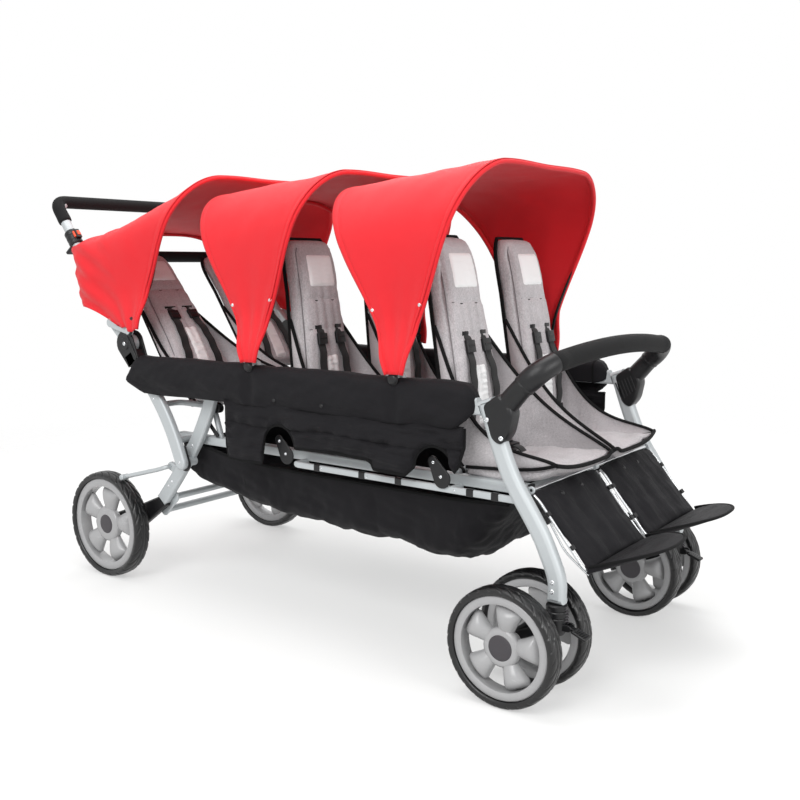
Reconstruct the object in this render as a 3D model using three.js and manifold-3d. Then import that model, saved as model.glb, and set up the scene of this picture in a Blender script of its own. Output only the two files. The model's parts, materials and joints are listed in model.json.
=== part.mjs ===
// A six-seat daycare stroller: three rows of two seats on a steel frame, with three canopies,
// twin front casters, large rear wheels and a folding push handle.
// Millimetres, +Z up, +X forward. "right" is the side at -Y, "left" the side at +Y.
// Lengths along X start at the rear axle, and the group is centred at the end.
import * as THREE from 'three';
import { mergeVertices } from 'three/addons/utils/BufferGeometryUtils.js';
import Module from 'manifold-3d';

const wasm = await Module();
wasm.setup();

// Fits
const TOUCH_GAP = 0.3;
const RUNNING_GAP = 0.8;
const CUT_OVERRUN = 5;
const RIGHT = -1;
const LEFT = 1;
const SIDES = [RIGHT, LEFT];
const sideName = (side) => (side === RIGHT ? 'right' : 'left');

// Round pieces are drawn with these many sides
const WHEEL_FACETS = 24;
const REAR_WHEEL_FACETS = 28;
const TUBE_FACETS = 10;
const PIN_FACETS = 8;
const BOW_FACETS = 6;
const ARC_STEPS = 3;
const BEND_STEPS = 2;

// Planes of the side frame, as distances from the middle of the stroller
const SIDE_PLANE = 324;
const RAIL_THICKNESS = 20;
const LEG_THICKNESS = 28;
const LEG_WIDTH = 36;
const TUBE_ROUNDING = 4;
const REAR_LEG_INNER = 275;
const REAR_LEG_THICKNESS = 20;
const REAR_LEG_OUTER = REAR_LEG_INNER + REAR_LEG_THICKNESS;
const RAIL_INNER = SIDE_PLANE - RAIL_THICKNESS / 2;
const RAIL_OUTER = SIDE_PLANE + RAIL_THICKNESS / 2;
const LEG_INNER = SIDE_PLANE - LEG_THICKNESS / 2;
const LEG_OUTER = SIDE_PLANE + LEG_THICKNESS / 2;

// Wheels
const REAR_WHEEL = { radius: 152.4, width: 48, plane: 330, rim: 133.6, ringWall: 13 };
const FRONT_WHEEL = { radius: 127, width: 44, spread: 67, rim: 110, ringWall: 13 };
const WHEEL_CROWN_SHARE = 0.34;
const TYRE_WALL_SHARE = 0.42;
const TYRE_SHOULDER_SHARE = 0.955;
const WHEEL_HUB = { radius: 28, inset: 11, innerRadius: 17, coverDepth: 8, webInner: 6, webOuter: 12 };
const AXLE_RADIUS = 6;
const SPOKES = 5;
const WINDOW = { innerShare: 0.44, outerShare: 0.9, innerHalfAngle: 12, outerHalfAngle: 21 };

// Front casters
const CASTER = { swivelX: 1428, trail: 84, headRadius: 22, topZ: 216, stemLength: 40, stemRadius: 6,
  armWidth: 38, armThickness: 44, headDrop: 62, footZ: 217 };
const PEDAL = { pivotReach: 30, pivotZ: 171, hubRadius: 6, pinRadius: 2.2, length: 38, drop: 15, width: 26,
  neckWidth: 13, padStart: 11, thickness: 6, earThickness: 4, earRadius: 7 };

// Side frame outlines, each a list of places along the middle of the tube
const FRONT_LEG = { headX: 1257, headZ: 617, upperX: 1312, upperZ: 470, kneeX: 1398, kneeZ: 316,
  ankleX: 1427, ankleZ: 256, footX: 1428 };
const UPPER_RAIL = { middleZ: 600, height: 36, rearX: 176, frontX: 1246 };
const REAR_LEG = { pivotX: 400, pivotZ: 592, upperX: 389, upperZ: 540, bendX: 352, bendZ: 459,
  lowerX: 259, lowerZ: 327, endX: 184, endZ: 237, width: 38, pinRadius: 6, bossRadius: 12 };
const PUSH_TUBE = { width: 38, startReach: 40, neckX: 149, neckZ: 622, kneeX: 207, kneeZ: 552,
  midX: 256, midZ: 484, lowX: 289, lowZ: 422, endX: 312, endZ: 366, restBossRadius: 13 };

// Rear axle brackets, cross tubes and the foot brake
const AXLE_BRACKET = { hubRadius: 26, tongueInset: 22, legShare: 0.75, noseShare: 0.62, noseRiseShare: 0.1,
  browShare: 0.5, browRiseShare: 0.72 };
const CROSS_TUBES = { radius: 9, upperX: 219, upperZ: 250, lowerX: 175, lowerZ: 205, plateWidth: 30,
  plateThickness: 6 };
const BRAKE = { pivotX: 225, pivotZ: 340, rodRadius: 6, earRadius: 12, bendY: 307, elbowX: 196, elbowZ: 330,
  shoeX: 72, shoeY: 328, shoeRadius: 8, shoeLength: 26, shoeGap: 1.5, bendRadius: 14 };

// Seat frame: a ladder with a raised end for the rear row
const SEAT_RAIL = { legClearance: 8, width: 24, height: 24, middleZ: 422, rearX: 235, frontX: 1326 };
const SEAT_RAIL_OUTER = REAR_LEG_INNER - SEAT_RAIL.legClearance;
const SEAT_RAIL_INNER = SEAT_RAIL_OUTER - SEAT_RAIL.width;
const SEAT_RAIL_TOP = SEAT_RAIL.middleZ + SEAT_RAIL.height / 2;
const SEAT_RAIL_LOW = SEAT_RAIL.middleZ - SEAT_RAIL.height / 2;
const HINGE_TUBE_RADIUS = 8;
const FRONT_TUBE = { x: 1316, radius: 9 };
const REAR_SPACER = { x: 284, radius: 9 };
const FRONT_SPACER = { x: 1330, radius: 9 };
const LINK_BAR = { rearX: 711, frontX: 1335, z: 408, height: 15, inner: 300, thickness: 9, postReach: 20 };
const RISER = { radius: 8, footX: 396, footZ: 424, shoulderX: 366, endX: 229, topZ: 515, bendRadius: 20 };

// Seats
const SEAT_MIDDLE = 155;
const REAR_ROW = { name: 'rear', pivotX: 262, pivotZ: RISER.topZ, seatZ: RISER.topZ + RISER.radius, lean: 38,
  backLength: 500 };
const MIDDLE_ROW = { name: 'middle', pivotX: 685, pivotZ: SEAT_RAIL_TOP, seatZ: SEAT_RAIL_TOP, lean: 8.7,
  backLength: 526 };
const FRONT_ROW = { name: 'front', pivotX: 1137, pivotZ: SEAT_RAIL_TOP, seatZ: SEAT_RAIL_TOP, lean: 11.9,
  backLength: 533 };
const ROWS = [REAR_ROW, MIDDLE_ROW, FRONT_ROW];
const BACK = { clearOfPivot: 70, lowHalfWidth: 112, topHalfWidth: 84, taperShare: 0.7, roundingShare: 0.55,
  edge: 12, crown: 14, rearCrownShare: 0.35, channelDepth: 3.5, channels: 3, lugThickness: 6, lugInset: 31,
  lugOverlap: 26, eyeRadius: 13, shankWidth: 12 };
const PAN = { legClearance: 13, behindPivot: 28, depth: 234, rearTop: 20, frontTop: 35, crown: 8,
  seamDip: 9, seamSharpness: 12, frontLip: 10, edge: 10, cornerShare: 0.04 };
const PAN_HALF_WIDTH = REAR_LEG_INNER - PAN.legClearance;

// Footrests
const FOOTREST = { pivotX: 1352, pivotZ: 433, heelX: 1486, heelZ: 284, toeX: 1580, toeZ: 318, thickness: 12,
  inner: 16, outer: 296, rodRadius: 4, earThickness: 4, earWidth: 16 };

// Side covers: a padded sleeve round the upper rail and a panel that hangs below it
const SLEEVE = { inner: 300, outer: 344, wall: 3, topZ: 642, bottomZ: 551, innerDrop: 30, cornerRadius: 9,
  rearTopX: 172, rearMidX: 133, rearMidZ: 580, rearLowX: 200, frontX: 1228 };
const PANEL = { rearX: 505, frontX: 1214, lowZ: 405, middleZ: 458, frontZ: 434, stepX: 968,
  archHalfWidth: 52, archTopZ: 508 };

// Canopies
const CANOPY_PIN = { radius: 4, headRadius: 9, headThickness: 3.5, rise: 45 };
const FOOT = { sleeveGap: 3.5, thickness: 5, radius: 14 };
const FOOT_INNER = SLEEVE.outer + FOOT.sleeveGap;
const BOW = { rodRadius: 4, start: 11, inset: 13.5, shoulder: 138, flareEnd: 90, flareStart: 24 };
const BOW_HALF_WIDTH = FOOT_INNER + BOW.rodRadius - BOW.inset;
const CLOTH = { wall: 3, sag: 9, tongueStart: 22, tongueWidth: 44, tongueStandOff: 8 };
const CANOPY_SHAPE = { pivotZ: UPPER_RAIL.middleZ + CANOPY_PIN.rise, frontTilt: 22, rearTilt: -30,
  frontTop: 498, rearTop: 490, rearInset: 27 };
const MIDDLE_CANOPY = { name: 'middle', pivotX: 595, ...CANOPY_SHAPE };
const FRONT_CANOPY = { name: 'front', pivotX: 1035, ...CANOPY_SHAPE };
const CANOPIES = [MIDDLE_CANOPY, FRONT_CANOPY];
const REAR_CANOPY = { name: 'rear', pivotX: 145, pivotZ: 712, frontTilt: 25.6, rearTilt: -43, frontTop: 474,
  rearTop: 311, rearInset: 0 };
const DRAPE = { bulge: 26, thickness: 3, lowRise: 36, columns: 7, highX: -114, highZ: 905, upperAhead: 10,
  upperDrop: 35, lowerAhead: 19, lowerDrop: 50, lowAhead: 23, lowDrop: 45, hemAhead: 86, hemDrop: 15,
  seamAhead: 68, seamDrop: 4, seamHeight: 44, archBack: 66, archRise: 38 };

// Push handle
const HINGE = { x: 116, z: 676, cheekRadius: 36, cheekThickness: 6, pinRadius: 6, tongueRadius: 24,
  tongueWidth: 34, socketStart: 30, socketEnd: 61, socketWidth: 48, gapBesideTongue: 0.6 };
const TONGUE_THICKNESS = 23.4;
const HANDLE = { tubeRadius: 14, startX: 72, startZ: 712, topX: -158, topZ: 1018, barX: -196, barZ: 1068,
  bendRadius: 46, jointReach: 17 };
const GRIP = { radius: 18, overlap: 13.2 };
const CUFF = { gripGap: 33.6, outerRadius: 20, length: 46, leverThickness: 9, leverWidth: 22, leverDrop: 26,
  bossReach: 8, bossWidth: 16, bossLength: 26 };
const CROSS_BAR = { cuffGap: 22.3, radius: 17 };
// Places along the handle's straight run, from its lower end up
const HANDLE_RUN = Math.hypot(HANDLE.topX - HANDLE.startX, HANDLE.topZ - HANDLE.startZ);
const CUFF_REACH = HANDLE_RUN - GRIP.overlap - CUFF.gripGap - CUFF.length / 2;
const CROSS_BAR_REACH = CUFF_REACH - CUFF.length / 2 - CROSS_BAR.cuffGap - CROSS_BAR.radius;
const BUTTON = { width: 9, length: 14, depth: 6, proud: 2.5, clearance: 0.4 };
const BOW_ARM = { footGap: 0.5, thickness: 4, width: 24, reach: 23.5, bossRadius: 11 };
const BOW_ARM_INNER = FOOT_INNER - BOW_ARM.footGap - BOW_ARM.thickness;

// Bumper bar
const BUMPER = { tubeRadius: 16, gripRadius: 19, collarX: 1309, collarZ: 612, elbowX: 1372, elbowZ: 682,
  frontX: 1396, frontZ: 705, inset: 36, bendRadius: 34, spigotRadius: 8, spigotLength: 20, gripHalf: 262,
  bracketInner: 304, bracketOuter: 345 };
const BRACKET = { heelX: 1274, heelZ: 536, backX: 1247, backZ: 596, toeX: 1318, toeZ: 546, lowX: 1300,
  lowZ: 524, collarRadius: 17, headReach: 12 };

// Basket
const BASKET = { rearX: 242, frontX: 1275, frontTopZ: 384, topMiddleZ: 376, rearLowX: 254, rearLowZ: 302,
  bellyX: 660, bellyZ: 240, noseX: 1160, noseZ: 242, railInset: 9, lowInset: 22, cornerShare: 0.32, wall: 4,
  swellShare: 0.45, swellDropShare: 0.7, ridgeShare: 0.5 };
const BASKET_REAR_TOP = SEAT_RAIL_LOW - TOUCH_GAP;
const BASKET_HALF_WIDTH = SEAT_RAIL_OUTER - BASKET.railInset;
// Places across the basket, from its middle to its rim: the floor's middle and corner, then up the wall
const BASKET_ACROSS_SHARES = [0, (1 - BASKET.cornerShare) / 2, 1 - BASKET.cornerShare,
  1 - BASKET.cornerShare / 2, 1];

const DEG = Math.PI / 180;

// Materials
const finish = (color, roughness, metalness) =>
  () => new THREE.MeshStandardMaterial({ color, roughness, metalness });
const silverPaint = finish(0xc3c8ca, 0.38, 0.6);
const blackPlastic = finish(0x17181a, 0.42, 0);
const blackFoam = finish(0x1c1c1e, 0.85, 0);
const blackCloth = finish(0x242428, 0.9, 0);
const redCloth = finish(0xe8353a, 0.85, 0);
const greyCloth = finish(0xb5acae, 0.92, 0);
const tyreRubber = finish(0x1b1c1e, 0.75, 0);
const rimPlastic = finish(0xb9bdbb, 0.5, 0);
const orangePlastic = finish(0xe8502a, 0.45, 0);

// Signed volume of an indexed triangle list, negative where the faces point in
function signedVolume(positions, index) {
  const a = new THREE.Vector3();
  const b = new THREE.Vector3();
  const c = new THREE.Vector3();
  let total = 0;
  for (let i = 0; i < index.length; i += 3) {
    a.fromArray(positions, index[i] * 3);
    b.fromArray(positions, index[i + 1] * 3);
    c.fromArray(positions, index[i + 2] * 3);
    total += a.dot(b.cross(c)) / 6;
  }
  return total;
}

// A closed three.js geometry as a manifold solid with its faces pointing out
function solid(geometry) {
  const bare = geometry.clone();
  bare.deleteAttribute('normal');
  bare.deleteAttribute('uv');
  const merged = mergeVertices(bare);
  const positions = merged.attributes.position.array;
  const all = Array.from(merged.index.array);
  const faces = [];
  for (let i = 0; i < all.length; i += 3) {
    const [p, q, r] = [all[i], all[i + 1], all[i + 2]];
    if (p !== q && q !== r && r !== p) faces.push(p, q, r);
  }
  if (signedVolume(positions, faces) < 0) {
    for (let i = 0; i < faces.length; i += 3) [faces[i + 1], faces[i + 2]] = [faces[i + 2], faces[i + 1]];
  }
  return new wasm.Manifold(new wasm.Mesh({
    numProp: 3,
    vertProperties: new Float32Array(positions),
    triVerts: new Uint32Array(faces),
  }));
}

const union = (...solids) => solids.reduce((sum, next) => sum.add(next));

// A manifold solid as a named mesh
function mesh(name, body, material) {
  const result = body.getMesh();
  const geometry = new THREE.BufferGeometry();
  geometry.setAttribute('position', new THREE.BufferAttribute(new Float32Array(result.vertProperties), 3));
  geometry.setIndex(Array.from(result.triVerts));
  geometry.computeVertexNormals();
  const piece = new THREE.Mesh(geometry, material());
  piece.name = name;
  return piece;
}

// The low and high Y of a slab on one side of the stroller
const span = (side, inner, outer) => (side === LEFT ? [inner, outer] : [-outer, -inner]);

// A plate with an outline in X and Z, from yLow to yHigh, with its long edges rounded
function plate(points, yLow, yHigh, rounding = 0) {
  const shape = new THREE.Shape(points.map(([x, z]) => new THREE.Vector2(x, z)));
  const geometry = new THREE.ExtrudeGeometry(shape, {
    depth: yHigh - yLow - 2 * rounding,
    bevelEnabled: rounding > 0,
    bevelThickness: rounding,
    bevelSize: rounding,
    bevelOffset: -rounding,
    bevelSegments: 1,
  });
  geometry.rotateX(Math.PI / 2);
  geometry.translate(0, yHigh - rounding, 0);
  return solid(geometry);
}

// Points of an arc round a centre in X and Z
function arc(x, z, radius, fromAngle, toAngle, steps) {
  const points = [];
  for (let i = 0; i <= steps; i += 1) {
    const angle = (fromAngle + (toAngle - fromAngle) * i / steps) * DEG;
    points.push([x + radius * Math.cos(angle), z + radius * Math.sin(angle)]);
  }
  return points;
}

const circle = (x, z, radius, steps) => arc(x, z, radius, 0, 360, steps).slice(1);

// The outline of a band of even width along a smooth line through the places, with round or square ends
function ribbon(places, width, { samples = places.length + 2, roundStart = true, roundEnd = true } = {}) {
  const middle = places.map(([x, z]) => new THREE.Vector3(x, z, 0));
  const line = new THREE.CatmullRomCurve3(middle, false, 'centripetal');
  const half = width / 2;
  const leftEdge = [];
  const rightEdge = [];
  for (let i = 0; i <= samples; i += 1) {
    const point = line.getPointAt(i / samples);
    const along = line.getTangentAt(i / samples);
    leftEdge.push([point.x - along.y * half, point.y + along.x * half]);
    rightEdge.push([point.x + along.y * half, point.y - along.x * half]);
  }
  const cap = (share, turn) => {
    const point = line.getPointAt(share);
    const along = line.getTangentAt(share);
    const angle = Math.atan2(along.y, along.x) / DEG + turn;
    return arc(point.x, point.y, half, angle - 90, angle + 90, ARC_STEPS + 1).slice(1, -1);
  };
  return [
    ...rightEdge,
    ...(roundEnd ? cap(1, 0) : []),
    ...leftEdge.reverse(),
    ...(roundStart ? cap(0, 180) : []),
  ];
}

// A path that passes through the given places one by one, so each ring of a tube sits on one of them
class PlacedPath extends THREE.Curve {
  constructor(places) {
    super();
    this.places = places;
  }

  getPoint(t, target = new THREE.Vector3()) {
    const last = this.places.length - 1;
    const index = Math.min(Math.round(t * last), last);
    return target.copy(this.places[index]);
  }

  getPointAt(u, target) {
    return this.getPoint(u, target);
  }

  getTangentAt(u, target = new THREE.Vector3()) {
    const last = this.places.length - 1;
    const index = Math.min(Math.round(u * last), last);
    const before = this.places[Math.max(index - 1, 0)];
    const after = this.places[Math.min(index + 1, last)];
    const here = this.places[index];
    const incoming = here.clone().sub(before).normalize();
    const outgoing = after.clone().sub(here).normalize();
    return target.copy(incoming.add(outgoing)).normalize();
  }

  getTangent(t, target) {
    return this.getTangentAt(t, target);
  }
}

// A bend takes up at most this share of the runs beside it
const BEND_REACH_SHARE = 0.45;

// The corners of a path turned into round bends
function bent(corners, bendRadius, steps = BEND_STEPS) {
  const places = [corners[0].clone()];
  for (let i = 1; i < corners.length - 1; i += 1) {
    const back = corners[i - 1].clone().sub(corners[i]);
    const ahead = corners[i + 1].clone().sub(corners[i]);
    const reach = Math.min(bendRadius, back.length() * BEND_REACH_SHARE, ahead.length() * BEND_REACH_SHARE);
    const start = corners[i].clone().add(back.setLength(reach));
    const end = corners[i].clone().add(ahead.setLength(reach));
    const bend = new THREE.QuadraticBezierCurve3(start, corners[i], end);
    for (let k = 0; k <= steps; k += 1) places.push(bend.getPoint(k / steps));
  }
  places.push(corners[corners.length - 1].clone());
  return places;
}

const at = (x, y, z) => new THREE.Vector3(x, y, z);

// A round bar along placed points
function rod(places, radius, facets = TUBE_FACETS) {
  const ring = [];
  for (let i = 0; i < facets; i += 1) {
    const angle = (i + 0.5) / facets * 2 * Math.PI;
    ring.push(new THREE.Vector2(radius * Math.cos(angle), radius * Math.sin(angle)));
  }
  const geometry = new THREE.ExtrudeGeometry(new THREE.Shape(ring), {
    steps: places.length - 1,
    extrudePath: new PlacedPath(places),
  });
  return solid(geometry);
}

// A straight pin along Y
function pinY(x, z, radius, yLow, yHigh, facets = PIN_FACETS) {
  const geometry = new THREE.CylinderGeometry(radius, radius, yHigh - yLow, facets);
  geometry.translate(x, (yLow + yHigh) / 2, z);
  return solid(geometry);
}

const pinOnSide = (side, x, z, radius, inner, outer, facets) =>
  pinY(x, z, radius, ...span(side, inner, outer), facets);

// A straight pin along Z
function pinZ(x, y, radius, zLow, zHigh, facets = PIN_FACETS) {
  const geometry = new THREE.CylinderGeometry(radius, radius, zHigh - zLow, facets);
  geometry.rotateX(Math.PI / 2);
  geometry.translate(x, y, (zLow + zHigh) / 2);
  return solid(geometry);
}

function block(xLow, xHigh, yLow, yHigh, zLow, zHigh) {
  const geometry = new THREE.BoxGeometry(xHigh - xLow, yHigh - yLow, zHigh - zLow);
  geometry.translate((xLow + xHigh) / 2, (yLow + yHigh) / 2, (zLow + zHigh) / 2);
  return solid(geometry);
}

// A closed solid between two sheets of points with the same rows and columns
function slab(top, bottom) {
  const rows = top.length;
  const columns = top[0].length;
  const positions = [...top.flat(), ...bottom.flat()].flatMap((p) => [p.x, p.y, p.z]);
  const index = [];
  const topAt = (i, j) => i * columns + j;
  const bottomAt = (i, j) => rows * columns + i * columns + j;
  const quad = (a, b, c, d) => index.push(a, b, c, a, c, d);
  for (let i = 0; i < rows - 1; i += 1) {
    for (let j = 0; j < columns - 1; j += 1) {
      quad(topAt(i, j), topAt(i, j + 1), topAt(i + 1, j + 1), topAt(i + 1, j));
      quad(bottomAt(i, j), bottomAt(i + 1, j), bottomAt(i + 1, j + 1), bottomAt(i, j + 1));
    }
  }
  for (let i = 0; i < rows - 1; i += 1) {
    quad(topAt(i, 0), topAt(i + 1, 0), bottomAt(i + 1, 0), bottomAt(i, 0));
    quad(topAt(i + 1, columns - 1), topAt(i, columns - 1), bottomAt(i, columns - 1),
      bottomAt(i + 1, columns - 1));
  }
  for (let j = 0; j < columns - 1; j += 1) {
    quad(topAt(0, j + 1), topAt(0, j), bottomAt(0, j), bottomAt(0, j + 1));
    quad(topAt(rows - 1, j), topAt(rows - 1, j + 1), bottomAt(rows - 1, j + 1), bottomAt(rows - 1, j));
  }
  const geometry = new THREE.BufferGeometry();
  geometry.setAttribute('position', new THREE.Float32BufferAttribute(positions, 3));
  geometry.setIndex(index);
  return solid(geometry);
}

// A sheet of points, one for each pair of shares from 0 to 1
function sheet(rows, columns, place) {
  const points = [];
  for (let i = 0; i < rows; i += 1) {
    const row = [];
    for (let j = 0; j < columns; j += 1) row.push(place(i / (rows - 1), j / (columns - 1)));
    points.push(row);
  }
  return points;
}

// Turned solid round Y from radius and width pairs
function turned(profile, facets) {
  const points = profile.map(([radius, y]) => new THREE.Vector2(radius, y));
  return solid(new THREE.LatheGeometry(points, facets, Math.PI / facets));
}

const mix = (a, b, share) => a + (b - a) * share;

// Wheels: a tyre and a rim with five fat spokes. Both are drawn round the origin with the outer face at +Y.
const axleHeight = (radius, facets) => radius * Math.cos(Math.PI / facets);

function tyreSolid(wheel, facets) {
  const half = wheel.width / 2;
  const bore = wheel.rim + TOUCH_GAP;
  const crown = wheel.width * WHEEL_CROWN_SHARE;
  const wall = wheel.width * TYRE_WALL_SHARE;
  const shoulder = wheel.radius * TYRE_SHOULDER_SHARE;
  return turned([[bore, -wall], [shoulder, -half], [wheel.radius, -crown], [wheel.radius, crown],
    [shoulder, half], [bore, wall], [bore, -wall]], facets);
}

function rimSolid(wheel, facets, innerReach) {
  const half = wheel.width / 2;
  const lip = wheel.width * TYRE_WALL_SHARE;
  const ring = wheel.rim - wheel.ringWall;
  const hubFace = half - WHEEL_HUB.inset;
  let body = turned([[0, hubFace], [WHEEL_HUB.radius, hubFace], [ring, WHEEL_HUB.webOuter],
    [wheel.rim, lip], [wheel.rim, -lip], [ring, -WHEEL_HUB.webInner],
    [WHEEL_HUB.innerRadius, -innerReach], [0, -innerReach]], facets);
  for (let i = 0; i < SPOKES; i += 1) {
    const middle = 90 + 360 * i / SPOKES;
    const corner = (share, turn) => {
      const angle = (middle + turn) * DEG;
      return [ring * share * Math.cos(angle), ring * share * Math.sin(angle)];
    };
    const opening = [
      corner(WINDOW.innerShare, -WINDOW.innerHalfAngle),
      corner(WINDOW.outerShare, -WINDOW.outerHalfAngle),
      corner(WINDOW.outerShare, WINDOW.outerHalfAngle),
      corner(WINDOW.innerShare, WINDOW.innerHalfAngle),
    ];
    body = body.subtract(plate(opening, -half - CUT_OVERRUN, half + CUT_OVERRUN));
  }
  const bore = pinY(0, 0, AXLE_RADIUS + RUNNING_GAP, -innerReach - CUT_OVERRUN, hubFace - WHEEL_HUB.coverDepth);
  return body.subtract(bore);
}

// A wheel solid turned so its outer face looks to one side, then set on its axle
function setWheel(body, outward, x, y, z) {
  const turnedBody = outward === LEFT ? body : body.rotate([0, 0, 180]);
  return turnedBody.translate([x, y, z]);
}

const group = new THREE.Group();
const add = (name, body, material) => group.add(mesh(name, body, material));

const rearAxleZ = axleHeight(REAR_WHEEL.radius, REAR_WHEEL_FACETS);
const frontAxleZ = axleHeight(FRONT_WHEEL.radius, WHEEL_FACETS);
const frontAxleX = CASTER.swivelX - CASTER.trail;

// Rear wheels
const rearHubReach = REAR_WHEEL.plane - REAR_LEG_OUTER - TOUCH_GAP;
const rearTyre = tyreSolid(REAR_WHEEL, REAR_WHEEL_FACETS);
const rearRim = rimSolid(REAR_WHEEL, REAR_WHEEL_FACETS, rearHubReach);
for (const side of SIDES) {
  const y = side * REAR_WHEEL.plane;
  add(`rear_tyre_${sideName(side)}`, setWheel(rearTyre, side, 0, y, rearAxleZ), tyreRubber);
  add(`rear_rim_${sideName(side)}`, setWheel(rearRim, side, 0, y, rearAxleZ), rimPlastic);
}

// Front casters with twin wheels
const frontTyre = tyreSolid(FRONT_WHEEL, WHEEL_FACETS);
const frontHubReach = FRONT_WHEEL.spread - CASTER.armThickness / 2 - TOUCH_GAP;
const frontRim = rimSolid(FRONT_WHEEL, WHEEL_FACETS, frontHubReach);
const pedalX = CASTER.swivelX + PEDAL.pivotReach;

function casterFork(y) {
  const halfArm = CASTER.armThickness / 2;
  const headLow = CASTER.topZ - CASTER.headDrop;
  const head = pinZ(CASTER.swivelX, y, CASTER.headRadius, headLow, CASTER.topZ, TUBE_FACETS);
  const arm = plate(ribbon([[CASTER.swivelX - CASTER.headRadius / 2, CASTER.topZ - CASTER.headDrop / 2],
    [frontAxleX, frontAxleZ]], CASTER.armWidth), y - halfArm, y + halfArm, TUBE_ROUNDING);
  const axleReach = FRONT_WHEEL.spread + FRONT_WHEEL.width / 2 - WHEEL_HUB.inset - WHEEL_HUB.coverDepth
    - TOUCH_GAP;
  const axle = pinY(frontAxleX, frontAxleZ, AXLE_RADIUS, y - axleReach, y + axleReach);
  const stem = pinZ(CASTER.swivelX, y, CASTER.stemRadius, CASTER.topZ - CUT_OVERRUN,
    CASTER.topZ + CASTER.stemLength);
  const earInner = PEDAL.neckWidth / 2 + TOUCH_GAP;
  const ears = [-1, 1].map((end) => {
    const [low, high] = end > 0 ? [earInner, earInner + PEDAL.earThickness]
      : [-earInner - PEDAL.earThickness, -earInner];
    return plate(ribbon([[CASTER.swivelX, PEDAL.pivotZ], [pedalX, PEDAL.pivotZ]], PEDAL.earRadius * 2,
      { samples: 1, roundStart: false }), y + low, y + high);
  });
  const pedalPin = pinY(pedalX, PEDAL.pivotZ, PEDAL.pinRadius, y - earInner - TOUCH_GAP,
    y + earInner + TOUCH_GAP, PIN_FACETS);
  return union(head, arm, axle, stem, ...ears, pedalPin);
}

function casterPedal(y) {
  const neck = PEDAL.neckWidth / 2;
  const hub = pinY(pedalX, PEDAL.pivotZ, PEDAL.hubRadius, y - neck, y + neck);
  const tipX = pedalX + PEDAL.length;
  const tipZ = PEDAL.pivotZ - PEDAL.drop;
  const shankX = pedalX + PEDAL.padStart;
  const shank = plate(ribbon([[pedalX, PEDAL.pivotZ], [tipX, tipZ]], PEDAL.thickness, { samples: 1 }),
    y - neck, y + neck);
  const share = (shankX - pedalX) / PEDAL.length;
  const pad = plate(ribbon([[shankX, mix(PEDAL.pivotZ, tipZ, share)], [tipX, tipZ]], PEDAL.thickness,
    { samples: 1 }), y - PEDAL.width / 2, y + PEDAL.width / 2);
  const bore = pinY(pedalX, PEDAL.pivotZ, PEDAL.pinRadius + RUNNING_GAP, y - PEDAL.width, y + PEDAL.width);
  return union(hub, shank, pad).subtract(bore);
}

for (const side of SIDES) {
  const y = side * SIDE_PLANE;
  add(`caster_fork_${sideName(side)}`, casterFork(y), blackPlastic);
  add(`caster_pedal_${sideName(side)}`, casterPedal(y), blackPlastic);
  for (const end of SIDES) {
    const wheelY = y + end * FRONT_WHEEL.spread;
    const place = `${end === side ? 'outer' : 'inner'}_${sideName(side)}`;
    add(`front_tyre_${place}`, setWheel(frontTyre, end, frontAxleX, wheelY, frontAxleZ), tyreRubber);
    add(`front_rim_${place}`, setWheel(frontRim, end, frontAxleX, wheelY, frontAxleZ), rimPlastic);
  }
}

// Side frame
const frontLegLine = [[FRONT_LEG.headX, FRONT_LEG.headZ], [FRONT_LEG.upperX, FRONT_LEG.upperZ],
  [FRONT_LEG.kneeX, FRONT_LEG.kneeZ], [FRONT_LEG.ankleX, FRONT_LEG.ankleZ], [FRONT_LEG.footX, CASTER.footZ]];
const frontLegBand = (gap) => ribbon(frontLegLine, LEG_WIDTH + 2 * gap, { roundStart: false, roundEnd: false });

const hingeDirection = new THREE.Vector2(PUSH_TUBE.neckX - HINGE.x, PUSH_TUBE.neckZ - HINGE.z).normalize();
const belowHinge = (reach) => [HINGE.x + hingeDirection.x * reach, HINGE.z + hingeDirection.y * reach];
const pushTubeLine = (early) => [belowHinge(PUSH_TUBE.startReach - early), [PUSH_TUBE.neckX, PUSH_TUBE.neckZ],
  [PUSH_TUBE.kneeX, PUSH_TUBE.kneeZ], [PUSH_TUBE.midX, PUSH_TUBE.midZ], [PUSH_TUBE.lowX, PUSH_TUBE.lowZ],
  [PUSH_TUBE.endX, PUSH_TUBE.endZ]];
const pushTubeBand = (gap) => ribbon(pushTubeLine(gap), PUSH_TUBE.width + 2 * gap, { roundStart: false });

function frontLeg(side) {
  const tube = plate(frontLegBand(0), ...span(side, LEG_INNER, LEG_OUTER), TUBE_ROUNDING);
  const bore = pinZ(CASTER.swivelX, side * SIDE_PLANE, CASTER.stemRadius + RUNNING_GAP,
    CASTER.footZ - CUT_OVERRUN, CASTER.topZ + CASTER.stemLength + 2 * RUNNING_GAP);
  return tube.subtract(bore);
}

function lowerPushTube(side) {
  return plate(pushTubeBand(0), ...span(side, RAIL_INNER, RAIL_OUTER), TUBE_ROUNDING);
}

// An outline of everything just ahead of the rear edge of the front leg's head
function aheadOfLegEdge(reach) {
  const down = new THREE.Vector2(FRONT_LEG.upperX - FRONT_LEG.headX, FRONT_LEG.upperZ - FRONT_LEG.headZ)
    .normalize();
  const edge = LEG_WIDTH / 2 + TOUCH_GAP;
  const corner = (along, ahead) => [
    FRONT_LEG.headX + down.x * along - down.y * (ahead - edge),
    FRONT_LEG.headZ + down.y * along + down.x * (ahead - edge),
  ];
  return [corner(-reach, 0), corner(-reach, 2 * reach), corner(2 * reach, 2 * reach), corner(2 * reach, 0)];
}

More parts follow.
